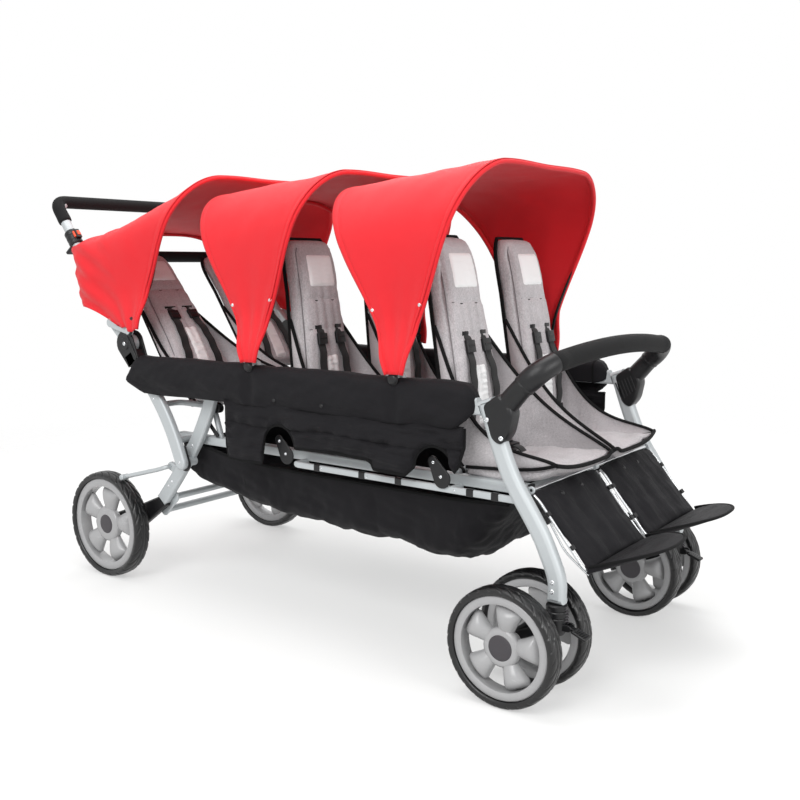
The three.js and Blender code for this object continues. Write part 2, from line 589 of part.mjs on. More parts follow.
// The upper rail carries the rear leg's pivot and the canopy pins
function upperRail(side) {
  const low = UPPER_RAIL.middleZ - UPPER_RAIL.height / 2;
  const high = UPPER_RAIL.middleZ + UPPER_RAIL.height / 2;
  const box = [[UPPER_RAIL.rearX, low], [UPPER_RAIL.frontX + LEG_WIDTH / 2, low],
    [UPPER_RAIL.frontX + LEG_WIDTH / 2, high], [UPPER_RAIL.rearX, high]];
  const around = span(side, RAIL_INNER - CUT_OVERRUN, RAIL_OUTER + CUT_OVERRUN);
  let body = plate(box, ...span(side, RAIL_INNER, RAIL_OUTER), TUBE_ROUNDING)
    .subtract(plate(pushTubeBand(TOUCH_GAP), ...around))
    .subtract(plate(frontLegBand(TOUCH_GAP), ...around))
    .subtract(plate(aheadOfLegEdge(LEG_WIDTH), ...around));
  const shoulder = pinOnSide(side, REAR_LEG.pivotX, REAR_LEG.pivotZ, REAR_LEG.bossRadius,
    REAR_LEG_OUTER + TOUCH_GAP, SIDE_PLANE);
  const pin = pinOnSide(side, REAR_LEG.pivotX, REAR_LEG.pivotZ, REAR_LEG.pinRadius,
    REAR_LEG_INNER - TOUCH_GAP, SIDE_PLANE);
  body = union(body, shoulder, pin);
  for (const canopy of CANOPIES) {
    const lug = plate(ribbon([[canopy.pivotX, UPPER_RAIL.middleZ], [canopy.pivotX, canopy.pivotZ]],
      FOOT.radius * 2, { samples: 1, roundStart: false }), ...span(side, RAIL_INNER + TUBE_ROUNDING,
      RAIL_OUTER - TUBE_ROUNDING));
    body = union(body, lug, canopyPin(side, canopy, SIDE_PLANE));
  }
  return body;
}

// A headed pin that a canopy bow turns on
function canopyPin(side, canopy, inner) {
  const headInner = FOOT_INNER + FOOT.thickness + TOUCH_GAP;
  const shank = pinOnSide(side, canopy.pivotX, canopy.pivotZ, CANOPY_PIN.radius, inner, headInner + TOUCH_GAP);
  const head = pinOnSide(side, canopy.pivotX, canopy.pivotZ, CANOPY_PIN.headRadius, headInner,
    headInner + CANOPY_PIN.headThickness);
  return union(shank, head);
}

for (const side of SIDES) {
  add(`front_leg_${sideName(side)}`, frontLeg(side), silverPaint);
  add(`lower_push_tube_${sideName(side)}`, lowerPushTube(side), silverPaint);
  add(`upper_rail_${sideName(side)}`, upperRail(side), silverPaint);
}

// Rear legs, with an ear for the brake rod and a boss that meets the push tube
const rearLegLine = [[REAR_LEG.pivotX, REAR_LEG.pivotZ], [REAR_LEG.upperX, REAR_LEG.upperZ],
  [REAR_LEG.bendX, REAR_LEG.bendZ], [REAR_LEG.lowerX, REAR_LEG.lowerZ], [REAR_LEG.endX, REAR_LEG.endZ]];

function rearLeg(side) {
  const [low, high] = span(side, REAR_LEG_INNER, REAR_LEG_OUTER);
  const tube = plate(ribbon(rearLegLine, REAR_LEG.width, { roundEnd: false }), low, high, TUBE_ROUNDING);
  const ear = plate(ribbon([[REAR_LEG.lowerX, REAR_LEG.lowerZ], [BRAKE.pivotX, BRAKE.pivotZ]],
    BRAKE.earRadius * 2, { samples: 1 }), ...span(side, REAR_LEG_INNER + TUBE_ROUNDING,
    REAR_LEG_OUTER - TUBE_ROUNDING));
  const boss = pinOnSide(side, PUSH_TUBE.endX, PUSH_TUBE.endZ, PUSH_TUBE.restBossRadius, REAR_LEG_INNER
    + TUBE_ROUNDING, RAIL_INNER - TOUCH_GAP);
  const bore = pinOnSide(side, REAR_LEG.pivotX, REAR_LEG.pivotZ, REAR_LEG.pinRadius + RUNNING_GAP,
    REAR_LEG_INNER - CUT_OVERRUN, REAR_LEG_OUTER + CUT_OVERRUN);
  const rodBore = pinOnSide(side, BRAKE.pivotX, BRAKE.pivotZ, BRAKE.rodRadius + RUNNING_GAP,
    REAR_LEG_INNER - CUT_OVERRUN, REAR_LEG_OUTER + CUT_OVERRUN, TUBE_FACETS);
  return union(tube, ear, boss).subtract(bore).subtract(rodBore);
}

// The bracket wraps the leg's lower end and carries the axle stub
function axleBracket(side) {
  const from = [mix(REAR_LEG.lowerX, REAR_LEG.endX, AXLE_BRACKET.legShare),
    mix(REAR_LEG.lowerZ, REAR_LEG.endZ, AXLE_BRACKET.legShare)];
  const wedge = [
    ...arc(0, rearAxleZ, AXLE_BRACKET.hubRadius, 110, 290, ARC_STEPS + 2),
    [REAR_LEG.endX * AXLE_BRACKET.noseShare, mix(rearAxleZ, REAR_LEG.endZ, AXLE_BRACKET.noseRiseShare)],
    [REAR_LEG.endX + AXLE_BRACKET.tongueInset, REAR_LEG.endZ - AXLE_BRACKET.tongueInset / 2],
    from,
    [REAR_LEG.endX - AXLE_BRACKET.tongueInset, REAR_LEG.endZ + AXLE_BRACKET.tongueInset / 4],
    [REAR_LEG.endX * AXLE_BRACKET.browShare, mix(rearAxleZ, REAR_LEG.endZ, AXLE_BRACKET.browRiseShare)],
  ];
  const body = plate(wedge, ...span(side, REAR_LEG_INNER, REAR_LEG_OUTER), TUBE_ROUNDING);
  const legCut = plate(ribbon(rearLegLine, REAR_LEG.width + 2 * TOUCH_GAP, { roundEnd: false }),
    ...span(side, REAR_LEG_INNER - CUT_OVERRUN, REAR_LEG_OUTER + CUT_OVERRUN));
  const axleEnd = REAR_WHEEL.plane + REAR_WHEEL.width / 2 - WHEEL_HUB.inset - WHEEL_HUB.coverDepth - TOUCH_GAP;
  const axle = pinOnSide(side, 0, rearAxleZ, AXLE_RADIUS, REAR_LEG_INNER + TUBE_ROUNDING, axleEnd);
  return union(body.subtract(legCut), axle);
}

// Two parallel tubes across the back with an end plate against each leg
function rearCrossFrame() {
  const reach = REAR_LEG_INNER - TOUCH_GAP;
  const line = [[CROSS_TUBES.upperX, CROSS_TUBES.upperZ], [CROSS_TUBES.lowerX, CROSS_TUBES.lowerZ]];
  const plates = SIDES.map((side) => plate(ribbon(line, CROSS_TUBES.plateWidth, { samples: 1 }),
    ...span(side, reach - CROSS_TUBES.plateThickness, reach)));
  const inner = reach - CROSS_TUBES.plateThickness / 2;
  const tubes = line.map(([x, z]) => pinY(x, z, CROSS_TUBES.radius, -inner, inner, TUBE_FACETS));
  return union(...plates, ...tubes);
}

// The foot brake: one rod through both rear legs, with its ends bent back over the tyres
function brakeBar() {
  const shoeDistance = REAR_WHEEL.radius + BRAKE.shoeGap + BRAKE.shoeRadius;
  const shoeZ = rearAxleZ + Math.sqrt(shoeDistance ** 2 - BRAKE.shoeX ** 2);
  const half = (side) => [
    at(BRAKE.shoeX, side * BRAKE.shoeY, shoeZ),
    at(BRAKE.elbowX, side * BRAKE.bendY, BRAKE.elbowZ),
    at(BRAKE.pivotX, side * BRAKE.bendY, BRAKE.pivotZ),
  ];
  const corners = [...half(RIGHT), ...half(LEFT).reverse()];
  const bar = rod(bent(corners, BRAKE.bendRadius, 1), BRAKE.rodRadius, PIN_FACETS);
  const shoes = SIDES.map((side) => pinY(BRAKE.shoeX, shoeZ, BRAKE.shoeRadius,
    side * BRAKE.shoeY - BRAKE.shoeLength / 2, side * BRAKE.shoeY + BRAKE.shoeLength / 2));
  return union(bar, ...shoes);
}

for (const side of SIDES) {
  add(`rear_leg_${sideName(side)}`, rearLeg(side), silverPaint);
  add(`axle_bracket_${sideName(side)}`, axleBracket(side), blackPlastic);
}
add('rear_cross_frame', rearCrossFrame(), silverPaint);
add('brake_bar', brakeBar(), silverPaint);

// Seat frame: two rails, a hinge tube under each row, a front tube, link bars and the rear risers
function seatFrame() {
  const pieces = [];
  for (const side of SIDES) {
    const outline = [[SEAT_RAIL.rearX, SEAT_RAIL_LOW], [SEAT_RAIL.frontX, SEAT_RAIL_LOW],
      [SEAT_RAIL.frontX, SEAT_RAIL_TOP], [SEAT_RAIL.rearX, SEAT_RAIL_TOP]];
    pieces.push(plate(outline, ...span(side, SEAT_RAIL_INNER, SEAT_RAIL_OUTER), TUBE_ROUNDING / 2));
    pieces.push(pinOnSide(side, REAR_SPACER.x, SEAT_RAIL.middleZ, REAR_SPACER.radius, SEAT_RAIL_OUTER
      - TUBE_ROUNDING, RAIL_INNER - TOUCH_GAP));
    pieces.push(pinOnSide(side, FRONT_SPACER.x, SEAT_RAIL.middleZ, FRONT_SPACER.radius, SEAT_RAIL_OUTER
      - TUBE_ROUNDING, LEG_INNER - TOUCH_GAP));
    pieces.push(block(FRONT_SPACER.x - 3 * FRONT_SPACER.radius, FRONT_SPACER.x, ...span(side,
      SEAT_RAIL_OUTER - TUBE_ROUNDING, SEAT_RAIL_OUTER + TUBE_ROUNDING), SEAT_RAIL.middleZ
      - FRONT_SPACER.radius, SEAT_RAIL.middleZ + FRONT_SPACER.radius));
    const barLow = LINK_BAR.z - LINK_BAR.height / 2;
    const barHigh = LINK_BAR.z + LINK_BAR.height / 2;
    pieces.push(block(LINK_BAR.rearX, LINK_BAR.frontX, ...span(side, LINK_BAR.inner,
      LINK_BAR.inner + LINK_BAR.thickness), barLow, barHigh));
    for (const row of ROWS.slice(1)) {
      pieces.push(pinOnSide(side, row.pivotX + LINK_BAR.postReach, LINK_BAR.z, LINK_BAR.height / 2,
        SEAT_RAIL_OUTER - TUBE_ROUNDING, LINK_BAR.inner + LINK_BAR.thickness / 2));
    }
    const middle = SEAT_RAIL_INNER + SEAT_RAIL.width / 2;
    const riser = bent([
      at(RISER.footX, side * middle, RISER.footZ),
      at(RISER.shoulderX, side * middle, RISER.topZ),
      at(RISER.endX, side * middle, RISER.topZ),
      at(RISER.endX, side * (RAIL_INNER - TOUCH_GAP), RISER.topZ),
    ], RISER.bendRadius, 1);
    pieces.push(rod(riser, RISER.radius, PIN_FACETS));
  }
  const reach = SEAT_RAIL_INNER + SEAT_RAIL.width / 2;
  for (const row of ROWS) {
    pieces.push(pinY(row.pivotX, row.pivotZ, HINGE_TUBE_RADIUS, -reach, reach));
  }
  pieces.push(pinY(FRONT_TUBE.x, SEAT_RAIL.middleZ, FRONT_TUBE.radius, -reach, reach));
  const earInner = FOOTREST.outer + TOUCH_GAP;
  const ears = [[-FOOTREST.inner / 2, FOOTREST.inner / 2], ...SIDES.map((side) =>
    span(side, earInner, earInner + FOOTREST.earThickness))];
  for (const [yLow, yHigh] of ears) {
    pieces.push(plate(ribbon([[FRONT_TUBE.x, SEAT_RAIL.middleZ], [FOOTREST.pivotX, FOOTREST.pivotZ]],
      FOOTREST.earWidth, { samples: 1 }), yLow, yHigh));
  }
  let body = union(...pieces);
  for (const [yLow, yHigh] of ears) {
    body = body.subtract(pinY(FOOTREST.pivotX, FOOTREST.pivotZ, FOOTREST.rodRadius + RUNNING_GAP,
      yLow - TOUCH_GAP, yHigh + TOUCH_GAP));
  }
  return body;
}
add('seat_frame', seatFrame(), silverPaint);

// Seat backs: a crowned pad with sewn channels, on two lugs round the hinge tube
function backOutline(share) {
  const taper = Math.max(0, (share - BACK.taperShare) / (1 - BACK.taperShare));
  const straight = mix(BACK.lowHalfWidth, BACK.topHalfWidth, Math.min(1, share / BACK.taperShare));
  return straight * Math.sqrt(1 - BACK.roundingShare * taper ** 3);
}

function seatBack(row, side) {
  const lean = row.lean * DEG;
  const along = new THREE.Vector2(-Math.sin(lean), Math.cos(lean));
  const ahead = new THREE.Vector2(Math.cos(lean), Math.sin(lean));
  const length = row.backLength - BACK.clearOfPivot;
  const face = (sign) => (v, u) => {
    const across = 2 * u - 1;
    const reach = BACK.clearOfPivot + length * v;
    const edgeFade = (1 - across ** 4) * (1 - (2 * v - 1) ** 6);
    const channel = (Math.cos(across * BACK.channels * Math.PI) - 1) / 2;
    const depth = BACK.edge / 2 + BACK.crown * edgeFade * (sign > 0 ? 1 : BACK.rearCrownShare)
      + (sign > 0 ? BACK.channelDepth * channel * edgeFade : 0);
    return at(
      row.pivotX + along.x * reach + ahead.x * sign * depth,
      side * SEAT_MIDDLE + across * backOutline(v),
      row.pivotZ + along.y * reach + ahead.y * sign * depth,
    );
  };
  const rows = 7;
  const columns = 7;
  const pad = slab(sheet(rows, columns, face(1)), sheet(rows, columns, face(-1)));
  const lugEnd = BACK.clearOfPivot + BACK.lugOverlap;
  const lugLine = [[row.pivotX, row.pivotZ], [row.pivotX + along.x * lugEnd, row.pivotZ + along.y * lugEnd]];
  const lugs = [-1, 1].map((end) => {
    const middle = side * SEAT_MIDDLE + end * (BACK.lowHalfWidth - BACK.lugInset);
    const low = middle - BACK.lugThickness / 2;
    const high = middle + BACK.lugThickness / 2;
    return plate(ribbon(lugLine, BACK.shankWidth, { samples: 1, roundEnd: false }), low, high)
      .add(pinY(row.pivotX, row.pivotZ, BACK.eyeRadius, low, high, TUBE_FACETS));
  });
  const bore = pinY(row.pivotX, row.pivotZ, HINGE_TUBE_RADIUS + RUNNING_GAP, side * SEAT_MIDDLE
    - BACK.lowHalfWidth, side * SEAT_MIDDLE + BACK.lowHalfWidth);
  return union(pad, ...lugs).subtract(bore);
}

// Seat pans: one padded sling for each row, dipping between the two places
function seatPan(row) {
  const rear = row.pivotX + PAN.behindPivot;
  const base = row.seatZ + TOUCH_GAP;
  const reachX = (v, across) => rear + PAN.depth * v * (1 - PAN.cornerShare * across ** 4);
  const top = (v, u) => {
    const across = 2 * u - 1;
    const place = Math.abs(across) * 2 - 1;
    const crown = PAN.crown * (1 - place ** 4) * Math.sin(Math.PI * v);
    const seam = PAN.seamDip * Math.exp(-((across * PAN.seamSharpness) ** 2)) * (1 - v);
    const lip = PAN.frontLip * v ** 2 * across ** 4;
    const height = mix(PAN.rearTop, PAN.frontTop, v) + crown - seam * v + lip;
    return at(reachX(v, across), across * PAN_HALF_WIDTH, base + height);
  };
  const bottom = (v, u) => {
    const across = 2 * u - 1;
    const edge = mix(0, PAN.frontTop - PAN.edge, v ** 3);
    return at(reachX(v, across), across * PAN_HALF_WIDTH, base + edge);
  };
  const rows = 5;
  const columns = 13;
  return slab(sheet(rows, columns, top), sheet(rows, columns, bottom));
}

for (const row of ROWS) {
  add(`seat_pan_${row.name}`, seatPan(row), greyCloth);
  for (const side of SIDES) add(`seat_back_${row.name}_${sideName(side)}`, seatBack(row, side), greyCloth);
}

// Footrests: a padded panel on a bent frame, hung from a rod at the front of the seat frame
function footrest(side) {
  const line = [[FOOTREST.pivotX, FOOTREST.pivotZ], [FOOTREST.heelX, FOOTREST.heelZ]];
  const toe = [[FOOTREST.heelX, FOOTREST.heelZ], [FOOTREST.toeX, FOOTREST.toeZ]];
  const [low, high] = span(side, FOOTREST.inner, FOOTREST.outer);
  const panel = plate(ribbon(line, FOOTREST.thickness, { samples: 1 }), low, high);
  const shelf = plate(ribbon(toe, FOOTREST.thickness, { samples: 1 }), low, high);
  const rodReach = span(side, FOOTREST.inner / 2 - FOOTREST.rodRadius, FOOTREST.outer + FOOTREST.earThickness);
  const pivotRod = pinY(FOOTREST.pivotX, FOOTREST.pivotZ, FOOTREST.rodRadius, ...rodReach);
  return union(panel, shelf, pivotRod);
}
for (const side of SIDES) add(`footrest_${sideName(side)}`, footrest(side), blackCloth);

// Side covers
function sideCover(side) {
  const innerCorner = SLEEVE.inner + SLEEVE.cornerRadius;
  const outerCorner = SLEEVE.outer - SLEEVE.cornerRadius;
  const cornerZ = SLEEVE.topZ - SLEEVE.cornerRadius;
  const lining = SLEEVE.cornerRadius - SLEEVE.wall;
  const section = [
    [SLEEVE.inner, SLEEVE.topZ - SLEEVE.innerDrop],
    ...arc(innerCorner, cornerZ, SLEEVE.cornerRadius, 180, 90, ARC_STEPS),
    ...arc(outerCorner, cornerZ, SLEEVE.cornerRadius, 90, 0, ARC_STEPS),
    [SLEEVE.outer, SLEEVE.bottomZ],
    [SLEEVE.outer - SLEEVE.wall, SLEEVE.bottomZ],
    ...arc(outerCorner, cornerZ, lining, 0, 90, ARC_STEPS),
    ...arc(innerCorner, cornerZ, lining, 90, 180, ARC_STEPS),
    [SLEEVE.inner + SLEEVE.wall, SLEEVE.topZ - SLEEVE.innerDrop],
  ];
  const shape = new THREE.Shape(section.map(([y, z]) => new THREE.Vector2(side * y, z)));
  const length = SLEEVE.frontX - SLEEVE.rearMidX;
  const geometry = new THREE.ExtrudeGeometry(shape, { depth: length, bevelEnabled: false });
  geometry.rotateX(Math.PI / 2);
  geometry.rotateZ(Math.PI / 2);
  geometry.translate(SLEEVE.rearMidX, 0, 0);
  const tubePart = solid(geometry);
  const wide = span(side, SLEEVE.inner - CUT_OVERRUN, SLEEVE.outer + CUT_OVERRUN);
  const rearCut = plate([[SLEEVE.rearTopX, SLEEVE.topZ + CUT_OVERRUN], [SLEEVE.rearTopX, SLEEVE.topZ],
    [SLEEVE.rearMidX, SLEEVE.rearMidZ], [SLEEVE.rearMidX - CUT_OVERRUN, SLEEVE.rearMidZ],
    [SLEEVE.rearMidX - CUT_OVERRUN, SLEEVE.topZ + CUT_OVERRUN]], ...wide);
  const lowCut = plate([[SLEEVE.rearMidX - CUT_OVERRUN, SLEEVE.rearMidZ], [SLEEVE.rearMidX, SLEEVE.rearMidZ],
    [SLEEVE.rearLowX, SLEEVE.bottomZ], [SLEEVE.rearLowX, SLEEVE.bottomZ - CUT_OVERRUN],
    [SLEEVE.rearMidX - CUT_OVERRUN, SLEEVE.bottomZ - CUT_OVERRUN]], ...wide);
  const middlePivot = ROWS[1].pivotX;
  const frontPivot = ROWS[2].pivotX;
  const archZ = PANEL.archTopZ - PANEL.archHalfWidth;
  const archOver = (x) => arc(x, archZ, PANEL.archHalfWidth, 180, 0, ARC_STEPS + 2);
  const hanging = [
    [PANEL.rearX, SLEEVE.bottomZ + SLEEVE.wall],
    [PANEL.rearX, PANEL.lowZ],
    [middlePivot - PANEL.archHalfWidth, PANEL.lowZ],
    ...archOver(middlePivot),
    [middlePivot + PANEL.archHalfWidth, PANEL.middleZ],
    [PANEL.stepX, PANEL.middleZ],
    [PANEL.stepX, PANEL.frontZ],
    [frontPivot - PANEL.archHalfWidth, PANEL.frontZ],
    ...archOver(frontPivot),
    [PANEL.frontX, PANEL.archTopZ],
    [PANEL.frontX, SLEEVE.bottomZ + SLEEVE.wall],
  ];
  const panel = plate(hanging, ...span(side, SLEEVE.outer - SLEEVE.wall, SLEEVE.outer));
  let body = union(tubePart.subtract(rearCut).subtract(lowCut), panel);
  for (const canopy of CANOPIES) {
    const reach = FOOT.radius + RUNNING_GAP;
    body = body.subtract(block(canopy.pivotX - reach, canopy.pivotX + reach, ...span(side, RAIL_INNER,
      RAIL_OUTER), UPPER_RAIL.middleZ, SLEEVE.topZ + CUT_OVERRUN));
    body = body.subtract(pinOnSide(side, canopy.pivotX, canopy.pivotZ, CANOPY_PIN.radius + RUNNING_GAP,
      SIDE_PLANE, SLEEVE.outer + CUT_OVERRUN));
  }
  return body;
}
for (const side of SIDES) add(`side_cover_${sideName(side)}`, sideCover(side), blackCloth);

// Basket: one sagging sheet between the seat rails
function basketSheet(inset) {
  const { rearLowX, bellyX, noseX, rearLowZ, bellyZ, noseZ, topMiddleZ, swellShare, swellDropShare } = BASKET;
  const stations = [
    [BASKET.rearX + inset, BASKET_REAR_TOP, BASKET_REAR_TOP],
    [rearLowX + inset, BASKET_REAR_TOP - inset, rearLowZ + inset],
    [mix(rearLowX, bellyX, swellShare), mix(BASKET_REAR_TOP, topMiddleZ, swellDropShare),
      mix(rearLowZ, bellyZ, swellDropShare) + inset],
    [bellyX, topMiddleZ, bellyZ + inset],
    [mix(bellyX, noseX, BASKET.ridgeShare), topMiddleZ, mix(bellyZ, noseZ, BASKET.ridgeShare) + 2 * inset],
    [noseX - inset, topMiddleZ, noseZ + inset],
    [BASKET.frontX - inset, BASKET.frontTopZ, BASKET.frontTopZ],
  ];
  const mirrored = BASKET_ACROSS_SHARES.slice(1).reverse().map((share) => -share);
  return stations.map(([x, rimZ, lowZ]) => [...mirrored, ...BASKET_ACROSS_SHARES].map((across) => {
    const outward = Math.min(1, Math.abs(across) / (1 - BASKET.cornerShare));
    const down = Math.min(1, (1 - Math.abs(across)) / BASKET.cornerShare);
    const half = BASKET_HALF_WIDTH - BASKET.lowInset * down - inset;
    return at(x, Math.sign(across) * half * outward, mix(rimZ, lowZ, down));
  }));
}
add('basket', slab(basketSheet(0), basketSheet(BASKET.wall)), blackCloth);

// Canopies. A bow is drawn as sideways distance and reach from the pins.
function bowPlaces(halfWidth, top, from) {
  const foot = FOOT_INNER + BOW.rodRadius;
  const corner = top - BOW.shoulder;
  const half = [
    [foot, from],
    [foot, Math.max(from, BOW.flareStart)],
    [halfWidth, BOW.flareEnd],
    [halfWidth, (BOW.flareEnd + corner) / 2],
  ];
  for (let i = 0; i <= ARC_STEPS; i += 1) {
    const angle = i / ARC_STEPS * Math.PI / 2;
    const outward = BOW.shoulder * Math.cos(angle);
    half.push([halfWidth - BOW.shoulder + outward, corner + BOW.shoulder * Math.sin(angle)]);
  }
  const mirrored = half.map(([y, reach]) => [-y, reach]).reverse();
  return [...half, [0, top], ...mirrored];
}

// Places of a bow line moved outward in its own plane
function pushedOut(line, distance) {
  return line.map(([y, reach], i) => {
    const before = line[Math.max(i - 1, 0)];
    const after = line[Math.min(i + 1, line.length - 1)];
    const dy = after[0] - before[0];
    const dr = after[1] - before[1];
    const length = Math.hypot(dy, dr) || 1;
    return [y + dr / length * distance, reach - dy / length * distance];
  });
}

function clothSolid(canopy) {
  const rows = 5;
  const layer = (distance) => {
    const points = [];
    for (let i = 0; i < rows; i += 1) {
      const share = i / (rows - 1);
      const tilt = mix(canopy.rearTilt, canopy.frontTilt, share) * DEG;
      const sag = CLOTH.sag * Math.sin(Math.PI * share);
      const halfWidth = BOW_HALF_WIDTH - canopy.rearInset * (1 - share) - sag / 2;
      const top = mix(canopy.rearTop, canopy.frontTop, share) - sag;
      const line = bowPlaces(halfWidth, top, CLOTH.tongueStart);
      points.push(pushedOut(line, distance).map(([y, reach], i) => {
        const fade = Math.max(0, 1 - line[i][1] / (3 * CLOTH.tongueWidth));
        const widen = (share - 0.5) * CLOTH.tongueWidth * fade;
        return at(
          canopy.pivotX + reach * Math.sin(tilt) + widen,
          y + Math.sign(y) * CLOTH.tongueStandOff * fade,
          canopy.pivotZ + reach * Math.cos(tilt),
        );
      }));
    }
    return points;
  };
  const inner = BOW.rodRadius + RUNNING_GAP;
  return slab(layer(inner + CLOTH.wall), layer(inner));
}

function bowSolid(canopy) {
  const tilt = canopy.frontTilt * DEG;
  const line = bowPlaces(BOW_HALF_WIDTH, canopy.frontTop, BOW.start);
  const places = line.map(([y, reach]) =>
    at(canopy.pivotX + reach * Math.sin(tilt), y, canopy.pivotZ + reach * Math.cos(tilt)));
  const bar = rod(places, BOW.rodRadius, BOW_FACETS);
  const feet = SIDES.map((side) => pinOnSide(side, canopy.pivotX, canopy.pivotZ, FOOT.radius, FOOT_INNER,
    FOOT_INNER + FOOT.thickness, PIN_FACETS));
  const bores = SIDES.map((side) => pinOnSide(side, canopy.pivotX, canopy.pivotZ, CANOPY_PIN.radius
    + RUNNING_GAP, FOOT_INNER - CUT_OVERRUN, FOOT_INNER + FOOT.thickness + CUT_OVERRUN));
  return union(bar, ...feet).subtract(union(...bores));
}

// The rear canopy reaches round the handle tubes and hangs behind them
function drapeSolid() {
  const clear = BOW_HALF_WIDTH + BOW.rodRadius + RUNNING_GAP;
  const outer = clear + CLOTH.wall;
  const upper = [DRAPE.highX + DRAPE.upperAhead, DRAPE.highZ - DRAPE.upperDrop];
  const lower = [upper[0] + DRAPE.lowerAhead, upper[1] - DRAPE.lowerDrop];
  const low = [lower[0] + DRAPE.lowAhead, lower[1] - DRAPE.lowDrop];
  const hem = [low[0] + DRAPE.hemAhead, low[1] - DRAPE.hemDrop];
  const seamLow = [hem[0] + DRAPE.seamAhead, hem[1] - DRAPE.seamDrop];
  const seamHigh = [seamLow[0], seamLow[1] + DRAPE.seamHeight];
  const arch = [seamHigh[0] - DRAPE.archBack, seamHigh[1] + DRAPE.archRise];
  const stations = [[DRAPE.highX, DRAPE.highZ], upper, lower, low];
  const layer = (outward) => sheet(stations.length, DRAPE.columns, (v, u) => {
    const [x, z] = stations[Math.round(v * (stations.length - 1))];
    const bow = 1 - (2 * u - 1) ** 2;
    return at(x - outward - DRAPE.bulge * bow, (2 * u - 1) * outer, z + DRAPE.lowRise * bow * v ** 4);
  });
  const wrap = [...stations.map(([x, z]) => [x - DRAPE.thickness / 2, z]), hem, seamLow, seamHigh, arch];
  const wraps = SIDES.map((side) => plate(wrap, ...span(side, clear, outer)));
  return union(slab(layer(DRAPE.thickness), layer(0)), ...wraps);
}

for (const canopy of CANOPIES) {
  add(`canopy_${canopy.name}`, clothSolid(canopy), redCloth);
  add(`canopy_bow_${canopy.name}`, bowSolid(canopy), blackPlastic);
}
add('canopy_rear', union(clothSolid(REAR_CANOPY), drapeSolid()), redCloth);
add('canopy_bow_rear', bowSolid(REAR_CANOPY), blackPlastic);

// Hinge housings: two cheeks and a socket for the lower push tube
function hingeHousing(side) {
  const tongueInner = SIDE_PLANE - TONGUE_THICKNESS / 2;
  const tongueOuter = SIDE_PLANE + TONGUE_THICKNESS / 2;
  const gap = HINGE.gapBesideTongue;
  const cheekLine = [[HINGE.x, HINGE.z], belowHinge(HINGE.socketEnd)];
  const layers = [
    [tongueInner - gap - HINGE.cheekThickness, tongueInner - gap],
    [tongueOuter + gap, tongueOuter + gap + HINGE.cheekThickness],
  ];
  const cheeks = layers.flatMap(([inner, outer]) => [
    plate(ribbon(cheekLine, HINGE.socketWidth, { samples: 1, roundEnd: false }), ...span(side, inner, outer)),
    plate(circle(HINGE.x, HINGE.z, HINGE.cheekRadius, TUBE_FACETS + 2), ...span(side, inner, outer)),
  ]);
  const socket = plate(ribbon([belowHinge(HINGE.socketStart), belowHinge(HINGE.socketEnd)], HINGE.socketWidth,
    { samples: 1, roundStart: false, roundEnd: false }), ...span(side, layers[0][0], layers[1][1]));
  const pin = pinOnSide(side, HINGE.x, HINGE.z, HINGE.pinRadius, layers[0][0], layers[1][1]);
  const tubeCut = plate(pushTubeBand(TOUCH_GAP), ...span(side, RAIL_INNER - TOUCH_GAP, RAIL_OUTER + TOUCH_GAP));
  const railCut = block(UPPER_RAIL.rearX - CUT_OVERRUN, UPPER_RAIL.rearX + UPPER_RAIL.height, ...span(side,
    SLEEVE.inner - CUT_OVERRUN, SLEEVE.outer + CUT_OVERRUN), UPPER_RAIL.middleZ - UPPER_RAIL.height,
  UPPER_RAIL.middleZ + UPPER_RAIL.height);
  return union(...cheeks, socket, pin).subtract(tubeCut).subtract(railCut);
}
for (const side of SIDES) add(`hinge_housing_${sideName(side)}`, hingeHousing(side), blackPlastic);

// A place on the handle's straight run, at a distance from its lower end
const handleLine = new THREE.Vector3(HANDLE.topX - HANDLE.startX, 0, HANDLE.topZ - HANDLE.startZ).normalize();
const onHandle = (reach) => at(HANDLE.startX, 0, HANDLE.startZ).addScaledVector(handleLine, reach);

// Push handle: one bent tube with a tongue at each end
function handleTube() {
  const run = (side) => [
    at(HANDLE.startX, side * SIDE_PLANE, HANDLE.startZ),
    at(HANDLE.topX, side * SIDE_PLANE, HANDLE.topZ),
    at(HANDLE.barX, side * SIDE_PLANE, HANDLE.barZ),
  ];
  const tube = rod(bent([...run(RIGHT), ...run(LEFT).reverse()], HANDLE.bendRadius), HANDLE.tubeRadius);
  const joint = onHandle(HANDLE.jointReach);
  const root = onHandle(BOW_ARM.reach);
  let body = tube;
  for (const side of SIDES) {
    const tongue = span(side, SIDE_PLANE - TONGUE_THICKNESS / 2, SIDE_PLANE + TONGUE_THICKNESS / 2);
    const arm = plate(ribbon([[HINGE.x, HINGE.z], [joint.x, joint.z]], HINGE.tongueWidth,
      { samples: 1 }), ...tongue);
    const eye = pinY(HINGE.x, HINGE.z, HINGE.tongueRadius, ...tongue, TUBE_FACETS + 2);
    const bowArm = plate(ribbon([[root.x, root.z], [REAR_CANOPY.pivotX, REAR_CANOPY.pivotZ]],
      BOW_ARM.width, { samples: 1 }), ...span(side, BOW_ARM_INNER, BOW_ARM_INNER + BOW_ARM.thickness));
    const bowBoss = pinOnSide(side, root.x, root.z, BOW_ARM.bossRadius, SIDE_PLANE,
      BOW_ARM_INNER + BOW_ARM.thickness / 2);
    const bore = pinY(HINGE.x, HINGE.z, HINGE.pinRadius + RUNNING_GAP, ...span(side,
      SIDE_PLANE - LEG_THICKNESS, SIDE_PLANE + TONGUE_THICKNESS / 2 + CUT_OVERRUN / 2));
    body = union(body, arm, eye).subtract(bore);
    body = union(body, bowArm, bowBoss, canopyPin(side, REAR_CANOPY, BOW_ARM_INNER));
  }
  return body;
}

